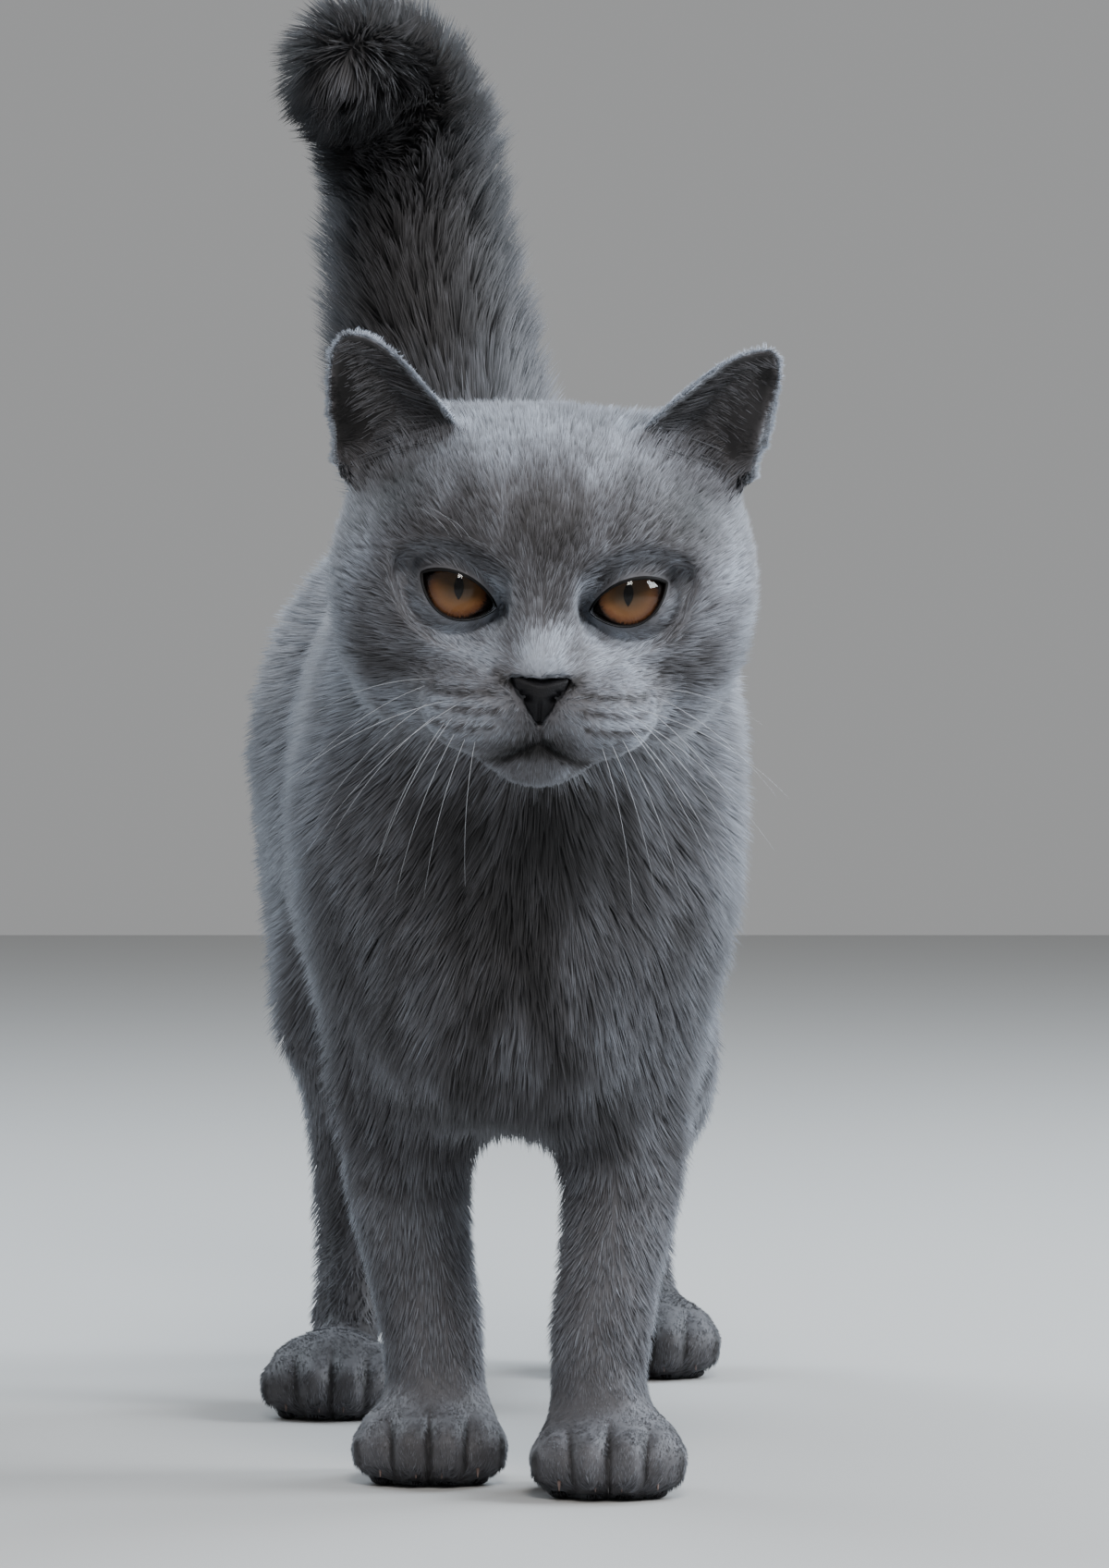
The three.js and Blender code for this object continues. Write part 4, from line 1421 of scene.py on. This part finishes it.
def nose_surface(u, v):
    """Across, forward and up of the leather's front, for u from -1 to 1 and v from 0 (top) to 1 (foot)."""
    across = u * np.interp(v, *NOSE_OUTLINE)
    up = mix(NOSE_TOP, NOSE_FOOT, v) - 0.5 * bell(u, 0, 0.3) * (1 - v) + 0.9 * u * u * (1 - v)
    forward = np.interp(v, *NOSE_FRONT) - 2.9 * (across / NOSE_HALF) ** 2
    hole, wing = NOSTRIL, NOSTRIL_WING
    wing_up = wing["up"] - wing["slope"] * (np.abs(across) - wing["start"])
    for sign in (-1, 1):
        inner = bell(across, sign * hole["out"], hole["width"]) * bell(up, hole["up"], hole["height"])
        outer = bell(across, sign * wing["out"], wing["width"]) * bell(up, wing_up, wing["height"])
        forward = forward - hole["depth"] * np.maximum(inner, wing["share"] * outer)
    forward = forward - 0.7 * bell(across, 0, 0.5) * smooth(v, 0.3, 0.5)  # the groove below
    return np.stack([across, forward, up], axis=-1)


def nose_mesh(columns=72, rows=64):
    """The leather's front, a narrower flat back, and the band between them."""
    u, v = np.meshgrid(np.linspace(-1, 1, columns), np.linspace(0, 1, rows))
    front = nose_surface(u.ravel(), v.ravel())
    rim = np.maximum(np.abs(u), np.abs(2 * v - 1)).ravel()
    front[:, 1] -= 1.6 * smooth(rim, 0.86, 1.0)
    back = front * [0.9, 0, 1] + [0, NOSE_BACK, 0]
    faces = []
    for row in range(rows - 1):
        for column in range(columns - 1):
            a = row * columns + column
            faces.append((a, a + columns, a + columns + 1, a + 1))
            b = a + rows * columns
            faces.append((b, b + 1, b + columns + 1, b + columns))
    edge = list(range(columns - 1)) + [r * columns + columns - 1 for r in range(rows - 1)]
    edge += [rows * columns - 1 - c for c in range(columns - 1)]
    edge += [r * columns for r in range(rows - 1, 0, -1)]
    size = rows * columns
    faces += [(a, b, b + size, a + size) for a, b in zip(edge, edge[1:] + edge[:1])]
    return in_head(np.concatenate([front, back])), faces


leather = plain_material("nose_leather", (0.0065, 0.0063, 0.0080), 0.6, bump=0.5, bump_scale=2600)
add_piece("nose_leather", *nose_mesh(), leather, "nose_leather", ["nose"])

# ---- claws and pads

CLAW = dict(length=4.6, thick=0.7, height=5.4, inwards=1.5)  # its root's height and shift to the middle, mm
CLAW_BEHIND = (4.4, 5.9)  # distance of the root behind the front of the inner toe and of the others, mm
OUTER_TOES_BEHIND = 3.5  # how far the first and the last toe stand behind the middle two, mm
TOE_PAD, TOE_PAD_BEHIND = (3.2, 4.0, 1.5), 11  # half sizes, and place behind the toe's front, mm
SOLE_PAD, SOLE_PAD_BEHIND = (9.5, 7.5, 2.0), 25
PAD_SPREAD = 0.86  # the toes' pads stand closer together than the toes


def claw(x, y):
    """A curved tapered hook that points forward and down from its root."""
    t = np.linspace(0, 1, 9)[:, None]
    hook = np.array([0, -0.75, -0.1]) * t + np.array([0, 0, -0.45]) * t ** 2
    path = np.array([x, y, CLAW["height"] * MM]) + hook * CLAW["length"] * MM
    return tube(path, CLAW["thick"] * MM * (1.02 - t[:, 0]) ** 0.6)


def pad(x, y, half):
    """A flattened ball that rests on the floor."""
    local, faces = revolved([(math.sin(a), math.cos(a)) for a in np.linspace(0, math.pi, 18)], 28)
    return local * np.array(half) * MM + [x, y, half[2] * MM], faces


def add_feet():
    claws, pads = [], []
    for name in PAWS:
        x, y = paw_front(name)
        inner = 3 if name.endswith("right") else 0
        for index, toe in enumerate(TOES):
            behind = OUTER_TOES_BEHIND if index in (0, 3) else 0
            root = behind + CLAW_BEHIND[index != inner]
            claws.append(claw(x + (toe - CLAW["inwards"] * np.sign(toe)) * MM, y + root * MM))
            pads.append(pad(x + toe * PAD_SPREAD * MM, y + (TOE_PAD_BEHIND + behind) * MM, TOE_PAD))
        pads.append(pad(x, y + SOLE_PAD_BEHIND * MM, SOLE_PAD))
    horn = plain_material("claw", (0.13, 0.092, 0.082), 0.4, bump_scale=900)
    cushion = plain_material("pad", (0.012, 0.011, 0.013), 0.55, bump=0.6, bump_scale=1800)
    add_piece("claws", *joined(claws), horn, "claw")
    add_piece("pads", *joined(pads), cushion, "nose_leather")


add_feet()

# ---- whiskers

# Across and up of each whisker's root on the face, its slope below level in degrees and its length,
# all but the slope in mm.
WHISKERS = [
    (27, -14.5, 8, 36), (29, -17, 26, 42), (28, -19.5, 35, 45), (26, -21.5, 42, 44), (24, -23, 50, 43),
    (22, -21, 56, 42), (21, -24.5, 62, 41), (18.5, -26, 70, 40), (16, -26.5, 78, 38), (24, -17.5, 20, 48),
    (20, -17, 33, 50),
]
BROW_HAIRS = ((17, 17), (20, 18.5), (23, 18))  # across and up of their roots, mm
WHISKER_THICK, BROW_HAIR_THICK = 0.062, 0.05  # radius at the root, mm


def onto_skin(tree, across, up):
    """The point of the skin straight behind a place in front of the face."""
    start, way = in_head([across, 90, up])[0], head_vector(0, -1, 0)
    return np.array(tree.ray_cast(start.tolist(), way.tolist())[0])


def hair(path, thick, t):
    return tube(path, thick * MM * (1 - 0.8 * t[:, 0]), sides=5)


def whiskers():
    """Drooping tapered hairs from the muzzle, and a few short ones over each eye."""
    tree = BVHTree.FromPolygons(skin.co.tolist(), skin.tri.tolist())
    parts = []
    for side in SIDES.values():
        for across, up, slope, length in WHISKERS:
            root = onto_skin(tree, side * across, up)
            wander = rng.normal(0, 1, 3)
            slope = math.radians(slope + 3 * wander[0])
            length = length * MM * (1 + 0.06 * wander[1])
            way = unit(np.array([side * math.cos(slope), -0.25, 0.12 - math.sin(slope)]))
            t = np.linspace(0, 1, 18)[:, None]
            bend = np.array([-side * 0.12, 0.2, -0.22 * math.cos(slope) - 0.06]) * length
            path = root + way * length * t + bend * t ** 2 - way * MM * (1 - t)
            parts.append(hair(path, WHISKER_THICK, t))
        for across, up in BROW_HAIRS:
            root = onto_skin(tree, side * across, up)
            t = np.linspace(0, 1, 14)[:, None]
            path = root + np.array([side * 5, -7, 17]) * MM * t + np.array([side * 5, 3, -6]) * MM * t ** 2
            parts.append(hair(path, BROW_HAIR_THICK, t))
    return joined(parts)


white_hair = plain_material("white_hair", (0.5, 0.52, 0.56), 0.4)
add_piece("whiskers", *whiskers(), white_hair, "whisker")

# ---- light and floor

LIGHTS = {  # place (m), size (m), power (W) and colour
    "front": ((0.18, -1.7, 1.75), 0.6, 31, (1, 0.97, 0.94)),
    "side_left": ((1.65, -0.15, 1.0), 0.7, 38, (0.90, 0.95, 1)),
    "rim_right": ((-1.0, 0.9, 1.4), 0.9, 24, (0.78, 0.89, 1)),
    "rim_left": ((1.1, 0.8, 1.4), 0.9, 40, (0.78, 0.89, 1)),
    "top": ((0, 0.1, 1.8), 1.4, 14, (0.84, 0.92, 1)),
}
LIT = (0, 0, 0.2)  # the place they are all turned to
WORLD = {"Color": (0.63, 0.635, 0.64, 1), "Strength": 0.54}
PAPER = {"Base Color": (0.40, 0.395, 0.385, 1), "Roughness": 0.8}
FLOOR_HALF = 3

for name, (place, size, power, colour) in LIGHTS.items():
    data = bpy.data.lights.new(name, "AREA")
    data.energy, data.size, data.color = power, size, colour
    lamp = new_object(name, data)
    lamp.location = place
    lamp.rotation_euler = (Vector(LIT) - Vector(place)).to_track_quat("-Z", "Y").to_euler()

world = bpy.data.worlds.new("studio")
bpy.context.scene.world = world
world.use_nodes = True
put(world.node_tree.nodes["Background"], WORLD)

corners = [(x * FLOOR_HALF, y * FLOOR_HALF, 0) for x, y in ((-1, -1), (1, -1), (1, 1), (-1, 1))]
floor_mesh = mesh_of("floor", corners, [(0, 1, 2, 3)], soft=False)
floor = new_object("floor", floor_mesh, Nodes("paper", PAPER).material)
